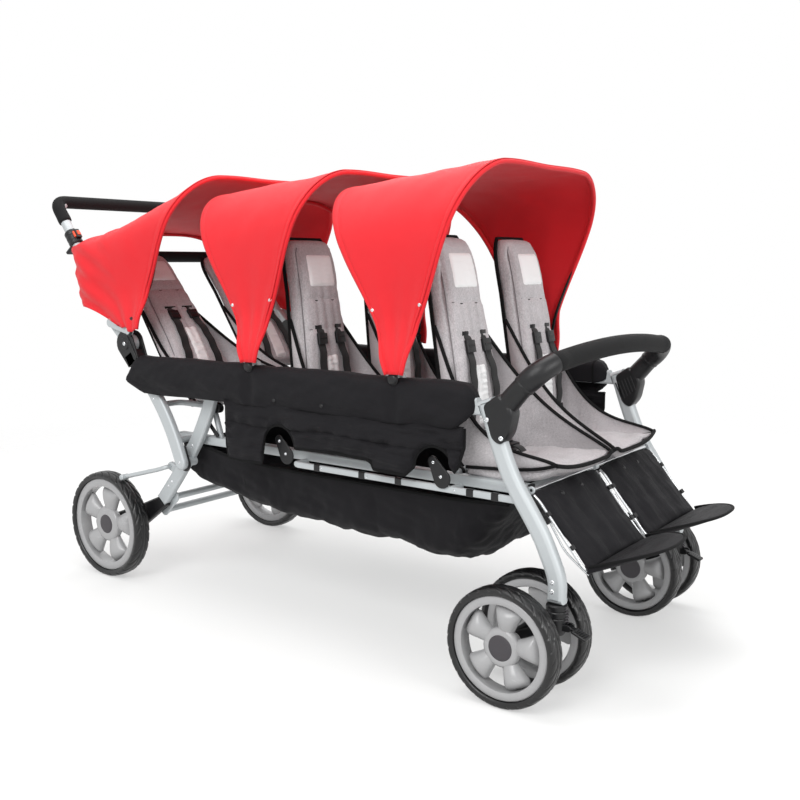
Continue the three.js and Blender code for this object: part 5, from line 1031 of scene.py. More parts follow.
# %% [markdown]
# The rear canopy is a tent between its bow and the handle. Six key lines run straight from the bow's edge to an
# edge that lies over the two cuffs, and three more drape behind the handle tubes to a hem just above the padded
# cross bar. One smooth skin is drawn over them all, so the side, shoulder and back stay one cloth, and small
# gathers are pressed in where it is pulled round the tubes.
# %% Rear canopy
pivot, front, rear = (145, 712), math.radians(25.6), math.radians(-43)
BOW_TOP = 451


def tent_line(start, between, corner, across_line):
    """A line of the tent: back along the side to the handle tube, round it, and up and over to the other side."""
    side_line = [(start[0], -349, start[1]), (between[0], -347, between[1]), (corner[0] + 12, -346, corner[1]),
                 (corner[0] - 8, -339, corner[1] + 2)]
    return mirrored(side_line + across_line, 150)


bow_size, tongue = (330, BOW_TOP, 8, 160), (1.0, 36, 24)
bow_edge = fan_row(pivot, front, over(*bow_size), *tongue)
cuff_edge = tent_line((132, 722), (40, 815), (-98, 937), [(-116, -300, 948), (-124, -180, 978), (-128, 0, 988)])
keys = [cuff_edge * w + bow_edge * (1 - w) - [0, 0, 10 * math.sin(math.pi * w)] for w in (0, 0.2, 0.4, 0.6, 0.8, 1)]
keys += [tent_line(*behind) for behind in (
    ((124, 720), (46, 778), (-84, 870), [(-108, -316, 884), (-122, -262, 938), (-128, -170, 970), (-130, 0, 983)]),
    ((112, 720), (52, 752), (-72, 812), [(-100, -318, 824), (-120, -282, 876), (-128, -200, 956), (-131, 0, 979)]),
    ((100, 724), (54, 742), (-52, 772), [(-84, -320, 782), (-112, -292, 822), (-128, -216, 942), (-132, 0, 976)]))]
ROWS_OF_TENT = 96
grid = skin(keys, ROWS_OF_TENT, 150)
grid = stitched(grid, np.linspace(1, 0, ROWS_OF_TENT), 41, (60, 700), 3.0)
share = np.linspace(0, 1, ROWS_OF_TENT)[:, None]
pull = np.exp(-((grid[..., 0] + 70) / 130) ** 2) * (np.abs(grid[..., 1]) > 250)
n = faces_out(grid)
n *= np.sign((n * (grid - [0, 0, 760])).sum(-1, keepdims=True))
grid = grid + n * (3.2 * pull * np.sin(grid[..., 2] / 9.0 + grid[..., 0] / 16.0) * (share > 0.4))[..., None]
begin, end = fold_line(pivot, front, rear, 311)
link = ("handle", "canopy_bow_rear", begin, end)
cover = piece("canopy_cloth_rear", [patch(grid)], red_cloth, stands_for=["canopy_rear"], wall=1.4, offset=1.0,
              blend=link)
path = fan_row(pivot, front, bow_line(*bow_size), *tongue)
hem = piece("canopy_hem_rear", [tube(path, circle(5.4, 14), (math.cos(front), 0, -math.sin(front)))], red_cloth,
            blend=link)
bow("rear", pivot, front, *bow_size[:2])
print("rear canopy")

# %% [markdown]
# Side covers. A padded sleeve wraps the upper rail and a puckered panel hangs from it with two arches where the
# seat clamps show. Both are black cloth with a bound edge. They are shaped directly, with folds from noise, as
# they are pulled tight over a stiff rail and have little slack to simulate. The folds stay flat beside the two
# pivots, and the front end of the sleeve is drawn together like a sack.
# %% Side covers
ARCHES = (685, 1137)  # X of the two arches' middles, the pivots of the middle and front seat backs


def arch(x):
    """The edge of the panel over a seat clamp: half a circle from rear to front."""
    return [(x + 52 * math.cos(a), 456 + 52 * math.sin(a)) for a in np.linspace(np.pi, 0, 13)]


for side, s in SIDES.items():
    section = curve([(303, 584), (300, 606), (300, 634), (307, 642), (322, 644), (337, 642.5), (344, 635),
                     (345.5, 610), (346, 580), (343.5, 549)], 46)
    v = np.linspace(0, 1, 190)[:, None]
    sy, sz = section[None, :, 0], section[None, :, 1]
    rear_x = np.interp(section[:, 1], [549, 580, 642], [196, 133, 172])[None]
    front_x = 1228 - 26 * np.clip((572 - section[:, 1]) / 24, 0, 1)[None] ** 2
    x = rear_x + (front_x - rear_x) * v
    grid = np.stack([x, s * sy + 0 * x, sz + 0 * x], -1)
    outer = np.clip((sy - 334) / 8, 0, 1) * np.ones_like(x)
    quiet = 1 - sum(np.exp(-((x - c) / 26) ** 2) for c in (595, 1035))
    low = np.clip((600 - sz) / 50, 0, 1) * np.ones_like(x)
    folds = ripple(grid * [0.5, 1, 1.3], 62, 11) * 2.4 + 1.6 * np.sin(x / 31 + 1.7 * np.sin(x / 83)) * low
    belly = 8.0 * np.sin(np.pi * np.clip((sz - 549) / 92, 0, 1)) ** 0.8 * outer
    grid[..., 1] += s * np.clip(outer * folds + belly, -6, 11 * quiet + 0.1)
    on_top = 2.2 * ripple(grid * [1, 0.2, 0.2], 150, 5) * np.clip((sz - 632) / 8, 0, 1)
    grid[..., 2] += on_top * quiet + 1.5 * low * np.sin(x / 57)
    drawn = np.clip((0.022 - (1 - v)) / 0.022, 0, 1) ** 2
    shrink = 1 - 0.9 * drawn
    grid[..., 1] = s * 322 + (grid[..., 1] - s * 322) * shrink
    grid[..., 2] = 602 + (grid[..., 2] - 602) * shrink
    grid[..., 0] += 10 * np.sqrt(drawn)
    sleeve = piece(f"sleeve_{side}", [patch(grid)], black_cloth, "frame", [f"side_cover_{side}"], wall=2.6,
                   offset=-1.0 * s)
    hem_line = grid[:, -1] + [0, s * 0.6, 1.5]
    tapes = [tube(hem_line, rounded(3.4, 7, 1.4)), tube(even(grid[-6], 60), rounded(7, 3.6, 1.4), (1, 0, 0)),
             tube(even(grid[0], 40), rounded(7, 3.6, 1.4), (1, 0, 0))]
    edge = piece(f"sleeve_binding_{side}", tapes, tape_cloth, "frame")
    snap_places = ((330, 574), (470, 574), (680, 568), (830, 568), (1110, 572))
    dots = [dome(px, pz, s * 351.0, s, 5, 2.6) for px, pz in snap_places]
    solids(f"sleeve_snaps_{side}", dots, black_plastic, "frame")

    low_line = [(505, 553), (505, 440), (512, 407), (560, 405), (625, 407)] + arch(ARCHES[0])
    low_line += [(760, 457), (860, 459), (955, 456), (968, 450), (975, 436), (1060, 434)] + arch(ARCHES[1])
    low_line = even(low_line + [(1199, 470), (1214, 512), (1214, 553)], 240)
    t = np.linspace(0, 1, 240)
    top_x = 505 + 709 * np.clip(0.65 * t + 0.35 * np.clip((low_line[:, 0] - 505) / 709, 0, 1), 0, 1)
    v = np.linspace(0, 1, 44)[:, None]
    ease = v**0.9
    x = top_x + (low_line[:, 0] - top_x) * ease
    z = 556 + (low_line[:, 1] - 556) * v
    grid = np.stack([x, np.full_like(x, s * 342.2), z], -1)
    near_edge = np.exp(-((1 - v) * 44 / 7) ** 2)
    seam = np.exp(-((z - 500 - 4 * np.sin(x / 60)) / 4) ** 2)
    puff = 9.0 * np.sin(np.clip(v, 0, 1) * np.pi) ** 0.6 + ripple(grid * [0.45, 1, 1.6], 70, 23) * 5.0
    pucker = 2.2 * np.sin(x / 8.5 + 2 * np.sin(z / 22)) * np.clip(1 - np.abs(z - 500) / 34, 0, 1)
    free = np.clip(v * 5, 0, 1) * np.clip((1 - v) * 9, 0, 1)
    grid[..., 1] += s * np.clip((puff + pucker - 6 * seam) * free - 1.2 * near_edge, -8, 12)
    panel = piece(f"side_panel_{side}", [patch(grid)], black_cloth, "frame", wall=2.4, offset=0)
    rim_tape = piece(f"side_panel_binding_{side}", [tube(grid[-1], rounded(4.4, 8, 1.8))], tape_cloth, "frame")
print("side covers")

# %% [markdown]
# The basket is a soft bag slung from the seat rails. Key lines across it, from the rear rim over the belly to
# the nose, are skinned smoothly; folds run diagonally from its upper corners to the belly. It sags between its
# seams, and its folds die out towards its rim, where a rear leg swings through when the legs fold.
# %% Basket
def hanging_section(x, rim_z, low_z):
    """A line across the bag: rim, wall leaning in, a round corner, and a floor that sags in the middle."""
    half, inset = 258.0, 22.0
    low = half - inset
    drop = rim_z - low_z
    right = [(x, -half, rim_z), (x, -half + inset * 0.35, rim_z - 0.45 * drop), (x, -low, rim_z - 0.82 * drop),
             (x, -low + 0.16 * drop + 4, low_z + 0.05 * drop), (x, -0.55 * low, low_z), (x, 0, low_z - 0.03 * drop)]
    return mirrored(right, 110)


stations = [(242, 409.4, 408.4), (247, 409, 355), (256, 408, 306), (330, 404, 288), (438, 386, 262), (560, 379, 246),
            (660, 376, 238), (790, 376, 236), (910, 376, 232), (1040, 376, 224), (1118, 376, 216), (1150, 377, 222),
            (1186, 378, 256), (1232, 381, 322), (1275, 384, 383)]
grid = skin([hanging_section(*station) for station in stations], 170, 110)
out = faces_out(grid)
out *= np.sign((out * (grid - [720, 0, 400])).sum(-1, keepdims=True))
rim_near = np.clip((grid[..., 2].max(1, keepdims=True) - grid[..., 2]) / 40, 0, 1)
x, z = grid[..., 0], grid[..., 2]
diagonal = np.sin((x - 250) / 46 + (z - 300) / 34) * np.exp(-((x - 360) / 170) ** 2)
diagonal += np.sin((1180 - x) / 40 + (z - 300) / 30) * np.exp(-((x - 1130) / 130) ** 2)
seams = sum(np.exp(-((x - c) / 3.2) ** 2) for c in (560, 905))
crumple = ripple(grid * [0.7, 1, 1.2], 120, 31) * 5.0 + ripple(grid, 44, 32) * 1.3
grid = grid + out * (np.clip(diagonal * 5.5 + crumple - 3.5 * seams, -9, 7) * rim_near)[..., None]
bag = piece("basket_bag", [patch(grid)], black_cloth, "frame", ["basket"], wall=2.0, offset=-1)
edges = [tube(grid[:, column] - [0, 0, 2], rounded(5, 8, 1.8)) for column in (0, -1)]
edges += [tube(grid[-1] - [3, 0, 1], rounded(8, 5, 1.8), (1, 0, 0))]
seam_tapes = [tube(grid[row, 2:-2] + out[row, 2:-2] * 0.8, rounded(9, 1.6, 0.7), (1, 0, 0)) for row in (52, 112)]
basket_edge = piece("basket_binding", edges + seam_tapes, tape_cloth, "frame")
for soft_part in (bag, basket_edge):
    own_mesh(soft_part)
print("basket")

# %% [markdown]
# Seat backs. A back is a stiff board in a padded sleeve: narrow, rounded at the top, with a sunk seam on each
# side of its middle panel. Front and rear are two sheets that meet at the rim, where a black tape is sewn on.
# Every place on it is given by its height share v and its side share a, so labels and straps can lie on it.
# Labels and the print patches on the seats are left blank.
# %% Seat backs
# Each row: X and Z of the backs' pivots, Z of the sling, the backs' lean in degrees, and the backs' length.
ROWS = {"rear": (262, 515, 523, 38.0, 500), "middle": (685, 434, 434, 8.7, 526), "front": (1137, 434, 434, 11.9, 533)}
PAD_FROM = 70  # the pad of a back starts this far from its pivot
CROSS_SEAMS = (0.655, 0.49)  # height shares of the two seams across a back


def back_outline(v):
    """Half width of a back: tapers from 112 to 86, then rounds in over its last third."""
    taper = np.clip((v - 0.7) / 0.3, 0, 1)
    return (112 - 26 * np.clip(v / 0.7, 0, 1)) * np.sqrt(1 - 0.5 * taper**4.5)


def on_back(row, s, v, a, depth):
    """A place on a back: up along its lean, sideways, and in front of or behind its middle plane."""
    pivot_x, pivot_z, _, lean, length = ROWS[row]
    v, a, depth = np.broadcast_arrays(*(np.asarray(k, float) for k in (v, a, depth)))
    lean = math.radians(lean)
    reach = PAD_FROM + (length - PAD_FROM) * v
    return np.stack([pivot_x - math.sin(lean) * reach + math.cos(lean) * depth, s * SEAT_Y + a * back_outline(v),
                     pivot_z + math.cos(lean) * reach + math.sin(lean) * depth], -1)


def face_depth(v, a):
    """How far the padded face stands out: a wall, a crown on it, and a rim that closes in a quarter circle."""
    crown = (1 - a**4) * (1 - (2 * v - 1) ** 6)
    end = np.clip((np.abs(2 * v - 1) - 0.93) / 0.07, 0, 1)
    rim_close = np.sqrt(np.clip(1 - np.abs(a) ** 11, 0, 1)) * np.sqrt(1 - end**2)
    return (24 + 22 * crown * (0.55 + 0.45 * np.clip(v / 0.3, 0, 1))) * rim_close


def sewn_depth(v, a):
    """How far the sewing pulls the face in: two side seams, three soft channels, and one cross seam."""
    seams = 6.5 * np.exp(-((np.abs(a) - 0.8) / 0.04) ** 2) * np.clip((0.96 - v) * 20, 0, 1)
    channels = 3.4 * np.exp(-(a / 0.07) ** 2) + 2.6 * np.exp(-((np.abs(a) - 0.34) / 0.06) ** 2)
    channels = channels * np.exp(-((v - 0.5) / 0.26) ** 4)
    high, low = (np.exp(-((v - seam) / 0.014) ** 2) for seam in CROSS_SEAMS)
    cross = (3.2 * high + 2.2 * low) * (np.abs(a) < 0.7)
    return (seams + channels + cross) * np.clip((0.5 - np.abs(v - 0.5)) * 24, 0, 1)


def front_depth(v, a):
    """The finished face: what stands out less what the sewing pulls in."""
    return face_depth(v, a) - sewn_depth(v, a)


def back_pad(row, s, seed):
    """Front and rear sheets of a back as one closed loop of columns, with soft dents in the padding."""
    v = (0.5 - 0.5 * np.cos(np.linspace(0, np.pi, 92)))[:, None]
    a = np.sin(np.linspace(-np.pi / 2, np.pi / 2, 46))[None]
    dents = ripple(on_back(row, s, v, a, 0), 95, seed) * 2.2 + ripple(on_back(row, s, v, a, 0), 34, seed + 1) * 0.8
    inside = np.clip((1 - np.abs(a)) * 6, 0, 1) * np.clip((0.5 - np.abs(v - 0.5)) * 16, 0, 1)
    ahead = face_depth(v, a) + dents * inside
    behind = -(6 + 5 * (1 - a**4)) * np.sqrt(np.clip(1 - np.abs(a) ** 7, 0, 1))
    behind = behind * np.clip((0.5 - np.abs(v - 0.5)) * 40, 0.05, 1)
    return closed_pair(on_back(row, s, v, a, ahead), on_back(row, s, v, a, behind))


def edge_line(row, s):
    """The rim of a back, up one side, over the top and down the other."""
    v = np.linspace(0, 1, 70)
    first, last = on_back(row, s, v, -1.0, 0), on_back(row, s, v, 1.0, 0)
    top = on_back(row, s, 1.0, np.linspace(-1, 1, 16)[1:-1], 0)
    return even(np.concatenate([first, top, last[::-1]]), 200)


def laid(row, s, v_low, v_high, a_low, a_high, lift, crinkle, rows=30, columns=14):
    """A patch sewn on a back: a small crinkled grid that lies a little over the padded face."""
    v, a = np.linspace(v_low, v_high, rows)[:, None], np.linspace(a_low, a_high, columns)[None]
    base = on_back(row, s, v, a, 0)
    wrinkle = crinkle * ripple(base * [1, 0.25, 2.0], 16, 7)
    edge = np.clip(np.minimum(v - v_low, v_high - v) * 60, 0, 1)
    edge = edge * np.clip(np.minimum(a - a_low, a_high - a) * 12, 0, 1)
    return on_back(row, s, v, a, front_depth(v, a) + lift * edge + wrinkle * edge)


def harness(row, s):
    """The belts of a back with their pads and slots, and the slides and tips on them, as two lists of patches."""
    v = np.linspace(0.505, 0.035, 60)
    slack = 2.5 + 7.0 * np.sin(np.clip((0.505 - v) / 0.47, 0, 1) * np.pi)
    straps = [tube(on_back(row, s, np.full(2, 0.645), [k - 0.11, k + 0.11], front_depth(0.645, k) + 1.2),
                   rounded(3.4, 2.2, 1.0), UP) for k in (-0.3, 0.3)]
    straps += [tube(on_back(row, s, np.full(2, 0.50), [k - 0.2, k + 0.2], front_depth(0.50, k) + 2.0),
                    rounded(11, 4.0, 1.8), UP) for k in (-0.33, 0.33)]
    slides = []
    for k in (-1, 1):
        a = k * (0.33 + 0.16 * np.sin((0.505 - v) * 3.2))
        off = slack + 1.2 * np.sin(v * 60 + k)
        line = on_back(row, s, v, a, front_depth(v, np.clip(a, -0.5, 0.5)) + off)
        straps.append(tube(line, rounded(26, 2.6, 1.2)))
        on_belt = front_depth(0.43, a[6]) + off[8]
        slides.append(tube(on_back(row, s, np.array([0.465, 0.435, 0.405]), a[6], on_belt + 2.4),
                           rounded(33, 9, 2.6)))
        slides.append(tube(on_back(row, s, np.full(2, 0.437), [a[6] - 0.13, a[6] + 0.13], on_belt + 6.2),
                           rounded(5, 3, 1.2), UP))
        slides.append(tube(on_back(row, s, np.array([0.06, 0.03, 0.0]), a[-3], front_depth(0.05, 0.4) + 7),
                           rounded(20, 9, 3)))
    return straps, slides


pads = []  # each pad with its cap on travel in millimetres, its row, and its side, or 0 for a sling
for number, (row, (pivot_x, pivot_z, _, _, _)) in enumerate(ROWS.items()):
    for side, s in SIDES.items():
        body, tag = f"seat_back_{row}_{side}", f"{row}_{side}"
        pad = piece(f"back_pad_{tag}", [patch(back_pad(row, s, 50 + 7 * number + s), round_columns=True, lids=True)],
                    grey_pad_cloth, body, [body])
        pads.append((pad, 7.0, row, s))
        piece(f"back_binding_{tag}", [tube(edge_line(row, s), rounded(9.5, 6.5, 2.8, 4), (1, 0.2, 0.1))], tape_cloth,
              body)
        piece(f"back_label_{tag}", [patch(laid(row, s, 0.72, 0.90, -0.58, 0.56, 4.4, 0.3)),
                                    patch(laid(row, s, 0.05, 0.345, -0.22, 0.22, 5.0, 1.3, 60, 12))],
              label_cloth, body, wall=0.5, offset=1.0)
        run, wide = np.linspace(0.08, 0.94, 60), np.linspace(-0.68, 0.68, 24)
        threads = [tube(on_back(row, s, run, k * 0.8, front_depth(run, 0.8) + 1.2), circle(1.3, 8)) for k in (-1, 1)]
        threads += [tube(on_back(row, s, k, wide, front_depth(k, wide) + 1.2), circle(1.1, 8), UP)
                    for k in CROSS_SEAMS]
        piece(f"back_seams_{tag}", threads, seam_thread, body)
        straps, slides = harness(row, s)
        piece(f"back_straps_{tag}", straps, strap_web, body)
        solids(f"back_buckles_{tag}", slides, black_plastic, body)
        lugs = []
        pad_x, _, pad_z = on_back(row, s, 0.06, 0, 0)
        for y in (s * SEAT_Y - 81, s * SEAT_Y + 81):
            lugs.append(flat_plate(ribbon([(pivot_x, pivot_z), (pad_x, pad_z)], 12, 10, False, False), y - 3, y + 3,
                                   rounding=1.2))
            lugs.append(pin(pivot_x, pivot_z, 13, y - 3, y + 3))
        solids(f"back_lugs_{tag}", lugs, black_plastic, body)
print("seat backs:", len(pads))

# %% [markdown]
# Seats. Each row is one padded sling on the seat frame, crowned in both places and pinched between them. Its
# front edge is bound in black and curls up at the outer corners, with a pale lip under it. Two webs rise from
# each place to the middle of the back; their black edges make the long slanting lines seen in the photograph.
# %% Seats
PLACE = 0.5  # side share of the middle of a place: 0 is the stroller's middle plane and 1 the sling's edge


def pan_top(row, v, across_share):
    """Places on the sling: a crown in each place, a dip at the seam, a lip that curls at the corners."""
    pivot_x, _, seat_z, _, _ = ROWS[row]
    u, v = np.asarray(across_share, float), np.asarray(v, float)
    in_place = np.abs(u) * 2 - 1
    crown = 11 * (1 - in_place**4) * np.sin(np.pi * v) ** 0.8
    dip = 12 * np.exp(-((u * 11) ** 2)) * np.sin(np.pi * np.clip(v * 1.05, 0, 1))
    curl = 15 * v**5 * np.abs(u) ** 5 + 9 * v**6 * np.exp(-((np.abs(u) - 0.06) / 0.05) ** 2)
    height = 20 + 15 * v + crown - dip + curl
    notch = 0.05 * u**4 + 0.035 * np.exp(-((u / 0.05) ** 2)) - 0.012 * np.cos(in_place * np.pi / 2)
    x = pivot_x + 28 + 234 * v * (1 - notch)
    return np.stack(np.broadcast_arrays(x, u * 262, seat_z + 0.3 + height), -1)


def pan_pad(row, seed):
    """Top and underside of a sling as one closed loop of rows, dented like a used cushion."""
    v = (0.5 - 0.5 * np.cos(np.linspace(0, np.pi, 44)))[:, None]
    u = np.linspace(-1, 1, 116)[None]
    top = pan_top(row, v, u)
    dents = ripple(top * [1, 0.7, 1], 110, seed) * 2.6 + ripple(top, 40, seed + 1) * 0.8
    top[..., 2] += dents * np.clip((0.5 - np.abs(v - 0.5)) * 8, 0, 1)
    low = top.copy()
    low[..., 2] = ROWS[row][2] + 0.8 + np.clip(v**3 * 26 - 4 * np.cos(u * 20) * v, 0, 40) + 12 * v**6 * np.abs(u) ** 5
    low[..., 0] -= 7 * v**4
    return np.concatenate([top, low[::-1]], 0)


def web(row, s, inner):
    """A web between a back and its seat: ruled from the crease up to a free edge that sags between its ends."""
    k = -1 if inner else 1
    up = on_back(row, s, np.linspace(0.56, 0.0, 26), s * k * 0.985, 2.0)
    u_side = s * (0.045 if inner else 0.985)
    ahead = pan_top(row, np.linspace(0.0, 0.985, 26), np.full(26, u_side)) + [0, 0, -2]
    crease = even(np.concatenate([up, ahead]), 60)
    first, last = crease[0], crease[-1] + [0, 0, 2]
    t = np.linspace(0, 1, 60)[:, None]
    free = first + (last - first) * t
    free[:, 2] -= ((34 if inner else 74) * np.sin(np.pi * t) ** 1.2)[:, 0]
    free[:, 0] -= ((12 if inner else 26) * np.sin(np.pi * t))[:, 0]
    outward = s * k * (8 if inner else 13) * np.sin(np.pi * t)
    free[:, 1:2] += outward
    w = np.linspace(0, 1, 22)[:, None, None]
    grid = crease[None] * (1 - w) + free[None] * w
    belly = np.sin(np.pi * w) * np.sin(np.pi * t)[None]
    grid[..., 1:2] += s * k * 9 * belly
    grid[..., 1] += ripple(grid, 85, 61 + k) * 2.4 * belly[..., 0]
    return grid, free


def filled(made):
    """Fills the open ends of a closed loop of rows, so that the remesh finds an inside."""
    work = bmesh.new()
    work.from_mesh(made.data)
    bmesh.ops.holes_fill(work, edges=[e for e in work.edges if e.is_boundary], sides=0)
    bmesh.ops.recalc_face_normals(work, faces=work.faces)
    work.to_mesh(made.data)
    work.free()


def lap_belts(row, s):
    """The crotch strap and two lap belts of a place, which meet at its buckle."""
    middle = s * PLACE
    meeting = pan_top(row, 0.14, middle) + [0, 0, 24]
    strap = curve([pan_top(row, 0.33, middle) + [0, 0, 2], pan_top(row, 0.27, middle) + [0, 0, 16], meeting], 24)
    belts = [tube(strap, rounded(25, 2.4, 1.1))]
    for k in (-1, 1):
        belt = [pan_top(row, v, middle + k * off) + [0, 0, z]
                for v, off, z in ((0.02, 0.34, 4), (0.10, 0.24, 7), (0.13, 0.1, 14))]
        belts.append(tube(curve(belt + [meeting], 40), rounded(2.4, 22, 1.1), (1, 0, 0.4)))
    return belts


for row in ROWS:
    pad = piece(f"seat_sling_{row}", [patch(pan_pad(row, 77), round_rows=True)], grey_pad_cloth, "frame",
                [f"seat_pan_{row}"])
    filled(pad)
    pads.append((pad, 6.0, row, 0))
    front_edge = pan_top(row, np.full(150, 1.0), np.linspace(-1, 1, 150)) + [0.5, 0, -2]
    edges = [pan_top(row, np.linspace(0.02, 1, 40), np.full(40, k)) + [0, 0, -2] for k in (-1.0, 1.0)]
    tapes = [tube(even(front_edge, 140), rounded(7, 9, 2.8, 4), (1, 0, 0.2))]
    tapes += [tube(edge, rounded(7, 7, 2.6, 4)) for edge in edges]
    piece(f"seat_binding_{row}", tapes, tape_cloth, "frame")
    hanging = pan_top(row, 1.0, np.linspace(-0.97, 0.97, 120))
    lip_grid = np.stack([hanging + [-1 - 14 * k, 0, -6 - 12 * k] for k in (0, 0.34, 0.67, 1.0)])
    lip_grid[..., 0] += 2.0 * ripple(lip_grid, 80, 91)
    lip = piece(f"seat_lip_{row}", [patch(lip_grid)], grey_cloth, "frame", wall=1.6, soft=1)
    for side, s in SIDES.items():
        back = f"seat_back_{row}_{side}"
        link = ("frame", back, pan_top(row, 0.15, s * PLACE), on_back(row, s, 0.35, 0, 0))
        for inner in (True, False):
            grid, free = web(row, s, inner)
            tag = f"{row}_{side}_{'inner' if inner else 'outer'}"
            cloth_web = piece(f"web_{tag}", [patch(grid)], grey_cloth, wall=1.8, offset=0, blend=link)
            binding = tube(free, rounded(9, 4.5, 2), (0.3, 1, 0.3))
            tape = piece(f"web_binding_{tag}", [binding], tape_cloth, blend=link)
        v, u = np.linspace(0.10, 0.36, 20)[:, None], s * (PLACE + np.linspace(-0.085, 0.085, 16)[None])
        piece(f"seat_patch_{row}_{side}", [patch(pan_top(row, v, u) + [0, 0, 3.4])], black_cloth, "frame", wall=1.2)
        piece(f"seat_straps_{row}_{side}", lap_belts(row, s), strap_web, "frame")
        spot = pan_top(row, 0.14, s * PLACE) + [0, 0, 25]
        lock = [tube([spot + [-19, 0, 4], spot + [0, 0, 1.5], spot + [19, 0, -1.5]], rounded(40, 11, 4)),
                tube([spot + [-8, 0, 8], spot + [8, 0, 6.5]], rounded(16, 5, 2.2))]
        solids(f"seat_buckle_{row}_{side}", lock, black_plastic, "frame")
print("seats, webs and belts")

# %% [markdown]
# Footrests. A quilted black panel hangs from a rod and ends in a half-moon plate; a bright wire frame shows
# along its edges. The quilting is a few long grooves that fade before the rim, and the plate is a domed pad
# whose outline is a flattened circle: its reach falls off as a high power of the distance from its middle.
# %% Footrests
ROD, TOE_FOLD = (1352, 433), (1486, 285)  # X and Z of the rod it hangs from, and of the fold above the plate
down = np.array([134, -149.0]) / math.hypot(134, 149)
out_way = np.array([149, 134.0]) / math.hypot(134, 149)
toe = np.array([94, 34.0]) / math.hypot(94, 34)
toe_up = np.array([-34, 94.0]) / math.hypot(94, 34)
v = np.linspace(0, 1, 60)[:, None]
t = np.sin(np.linspace(-np.pi / 2, np.pi / 2, 64))[None]
w = np.linspace(0, 1, 36)[:, None]


def panel_face(s, sign):
    """Front or rear of the panel: puffed, with grooves on the front, and closing towards the rim."""
    edge_fade = np.sqrt(np.clip(1 - np.abs(t) ** 9, 0, 1)) * np.sqrt(np.clip(1 - np.abs(2 * v - 1) ** 12, 0, 1))
    grooves = sum(np.exp(-((t - c + 0.04 * np.sin(v * 5 + c * 9)) / 0.045) ** 2) for c in (-0.62, -0.2, 0.22, 0.64))
    reach = 6 + 194 * v - 5 * np.cos(t * 1.5)
    y = s * FOOT_Y + t * (140 + 2.5 * np.sin(v * 7))
    base = np.stack([ROD[0] + down[0] * reach, y, ROD[1] + down[1] * reach], -1)
    puff = 5.5 + 4.0 * (1 - t**4) * (sign > 0) + ripple(base * [1, 1.5, 1], 110, 81) * 3.0
    depth = sign * (puff - 1.3 * grooves * np.sin(np.pi * v) ** 0.6 * (sign > 0)) * edge_fade
    return base + np.stack([out_way[0] * depth, 0 * depth, out_way[1] * depth], -1)


def plate_face(s, sign):
    """Top or underside of the half-moon plate: domed and ribbed on top, with its outer corners raised."""
    moon = 132 * np.clip(1 - np.abs(t) ** 2.7, 0, 1) ** 0.62
    rim_fade = np.sqrt(np.clip(1 - w**6, 0, 1)) * np.sqrt(np.clip(1 - np.abs(t) ** 8, 0, 1))
    run = -4 + (moon + 6) * w
    wide = s * FOOT_Y + t * (150 - 8 * w)
    ribs = 1.6 * np.sin(run / 7.5 + 0.6 * np.sin(t * 6)) * np.sin(np.pi * w) * np.clip(1 - t**4, 0, 1)
    lift = sign * (5.5 + 3 * (sign > 0) * np.sin(np.pi * w)) * rim_fade + (ribs if sign > 0 else 0) + 9 * w**2 * t**2
    return np.stack([TOE_FOLD[0] + toe[0] * run + toe_up[0] * lift, wide + 0 * run,
                     TOE_FOLD[1] + toe[1] * run + toe_up[1] * lift], -1)


def panel_snap(spot):
    """A button on the panel: the profile of dome() turned about the panel's own normal."""
    disc = np.linspace(0, 1, 8)[:, None]
    turn = np.linspace(0, 2 * np.pi, 28, endpoint=False)[None]
    r, rise = 5.5 * disc, 2.6 * (1 - disc**2.6) ** 0.5
    return patch(spot + np.stack([down[0] * r * np.cos(turn) + out_way[0] * rise, r * np.sin(turn) + 0 * rise,
                                  down[1] * r * np.cos(turn) + out_way[1] * rise], -1), round_columns=True)


def wire_frame(s):
    """The two bright wires along each side of a footrest, and its rod."""
    wires = []
    for k in (-1, 1):
        y = s * FOOT_Y + k * 146
        long = bends([(1360, y, 424), (1372, y, 414), (1478, y, 286), (1492, y - k * 60, 279)], 14)
        short = bends([(1398, y, 372), (1432, y, 318), (1482, y - k * 8, 276)], 20)
        wires += [tube(long, circle(2.9, 14), (0.3, 0.9, 0.3)), tube(short, circle(2.2, 12), (0.3, 0.9, 0.3))]
    return wires + [pin(*ROD, 4, *across(s, 4, 300.3))]


def band(s, k, e):
    """A short black sleeve on the outer or inner wire (e), a number of 40 mm steps down it (k)."""
    at = [(1372 + down[0] * reach + 4 * k, s * FOOT_Y + e * 146, 414 - 4 * k + down[1] * reach)
          for reach in (40 * k, 40 * k + 10)]
    return tube(at, circle(5, 14))


for side, s in SIDES.items():
    body = f"footrest_{side}"
    front_face = panel_face(s, 1)
    sheets = patch(closed_pair(front_face, panel_face(s, -1)), round_columns=True, lids=True)
    panel = piece(f"foot_panel_{side}", [sheets], black_cloth, body, [body])
    upper, lower = plate_face(s, 1), plate_face(s, -1)
    sheets = patch(closed_pair(upper, lower), round_columns=True, lids=True)
    plate = piece(f"foot_plate_{side}", [sheets], black_cloth, body)
    rim_line = even((upper[-1] + lower[-1]) / 2, 120)
    piece(f"foot_binding_{side}", [tube(rim_line, circle(3.4, 12), UP)], tape_cloth, body)
    solids(f"foot_wires_{side}", wire_frame(s), bright_steel, body)
    solids(f"foot_bands_{side}", [band(s, k, e) for k in (0.6, 2.4) for e in (-1, 1)], black_plastic, body)
    columns = [int(np.argmin(np.abs(t[0] - k))) for k in (-0.42, 0.18)]
    solids(f"foot_snaps_{side}", [panel_snap(front_face[9, column]) for column in columns], black_plastic, body)
print("footrests")

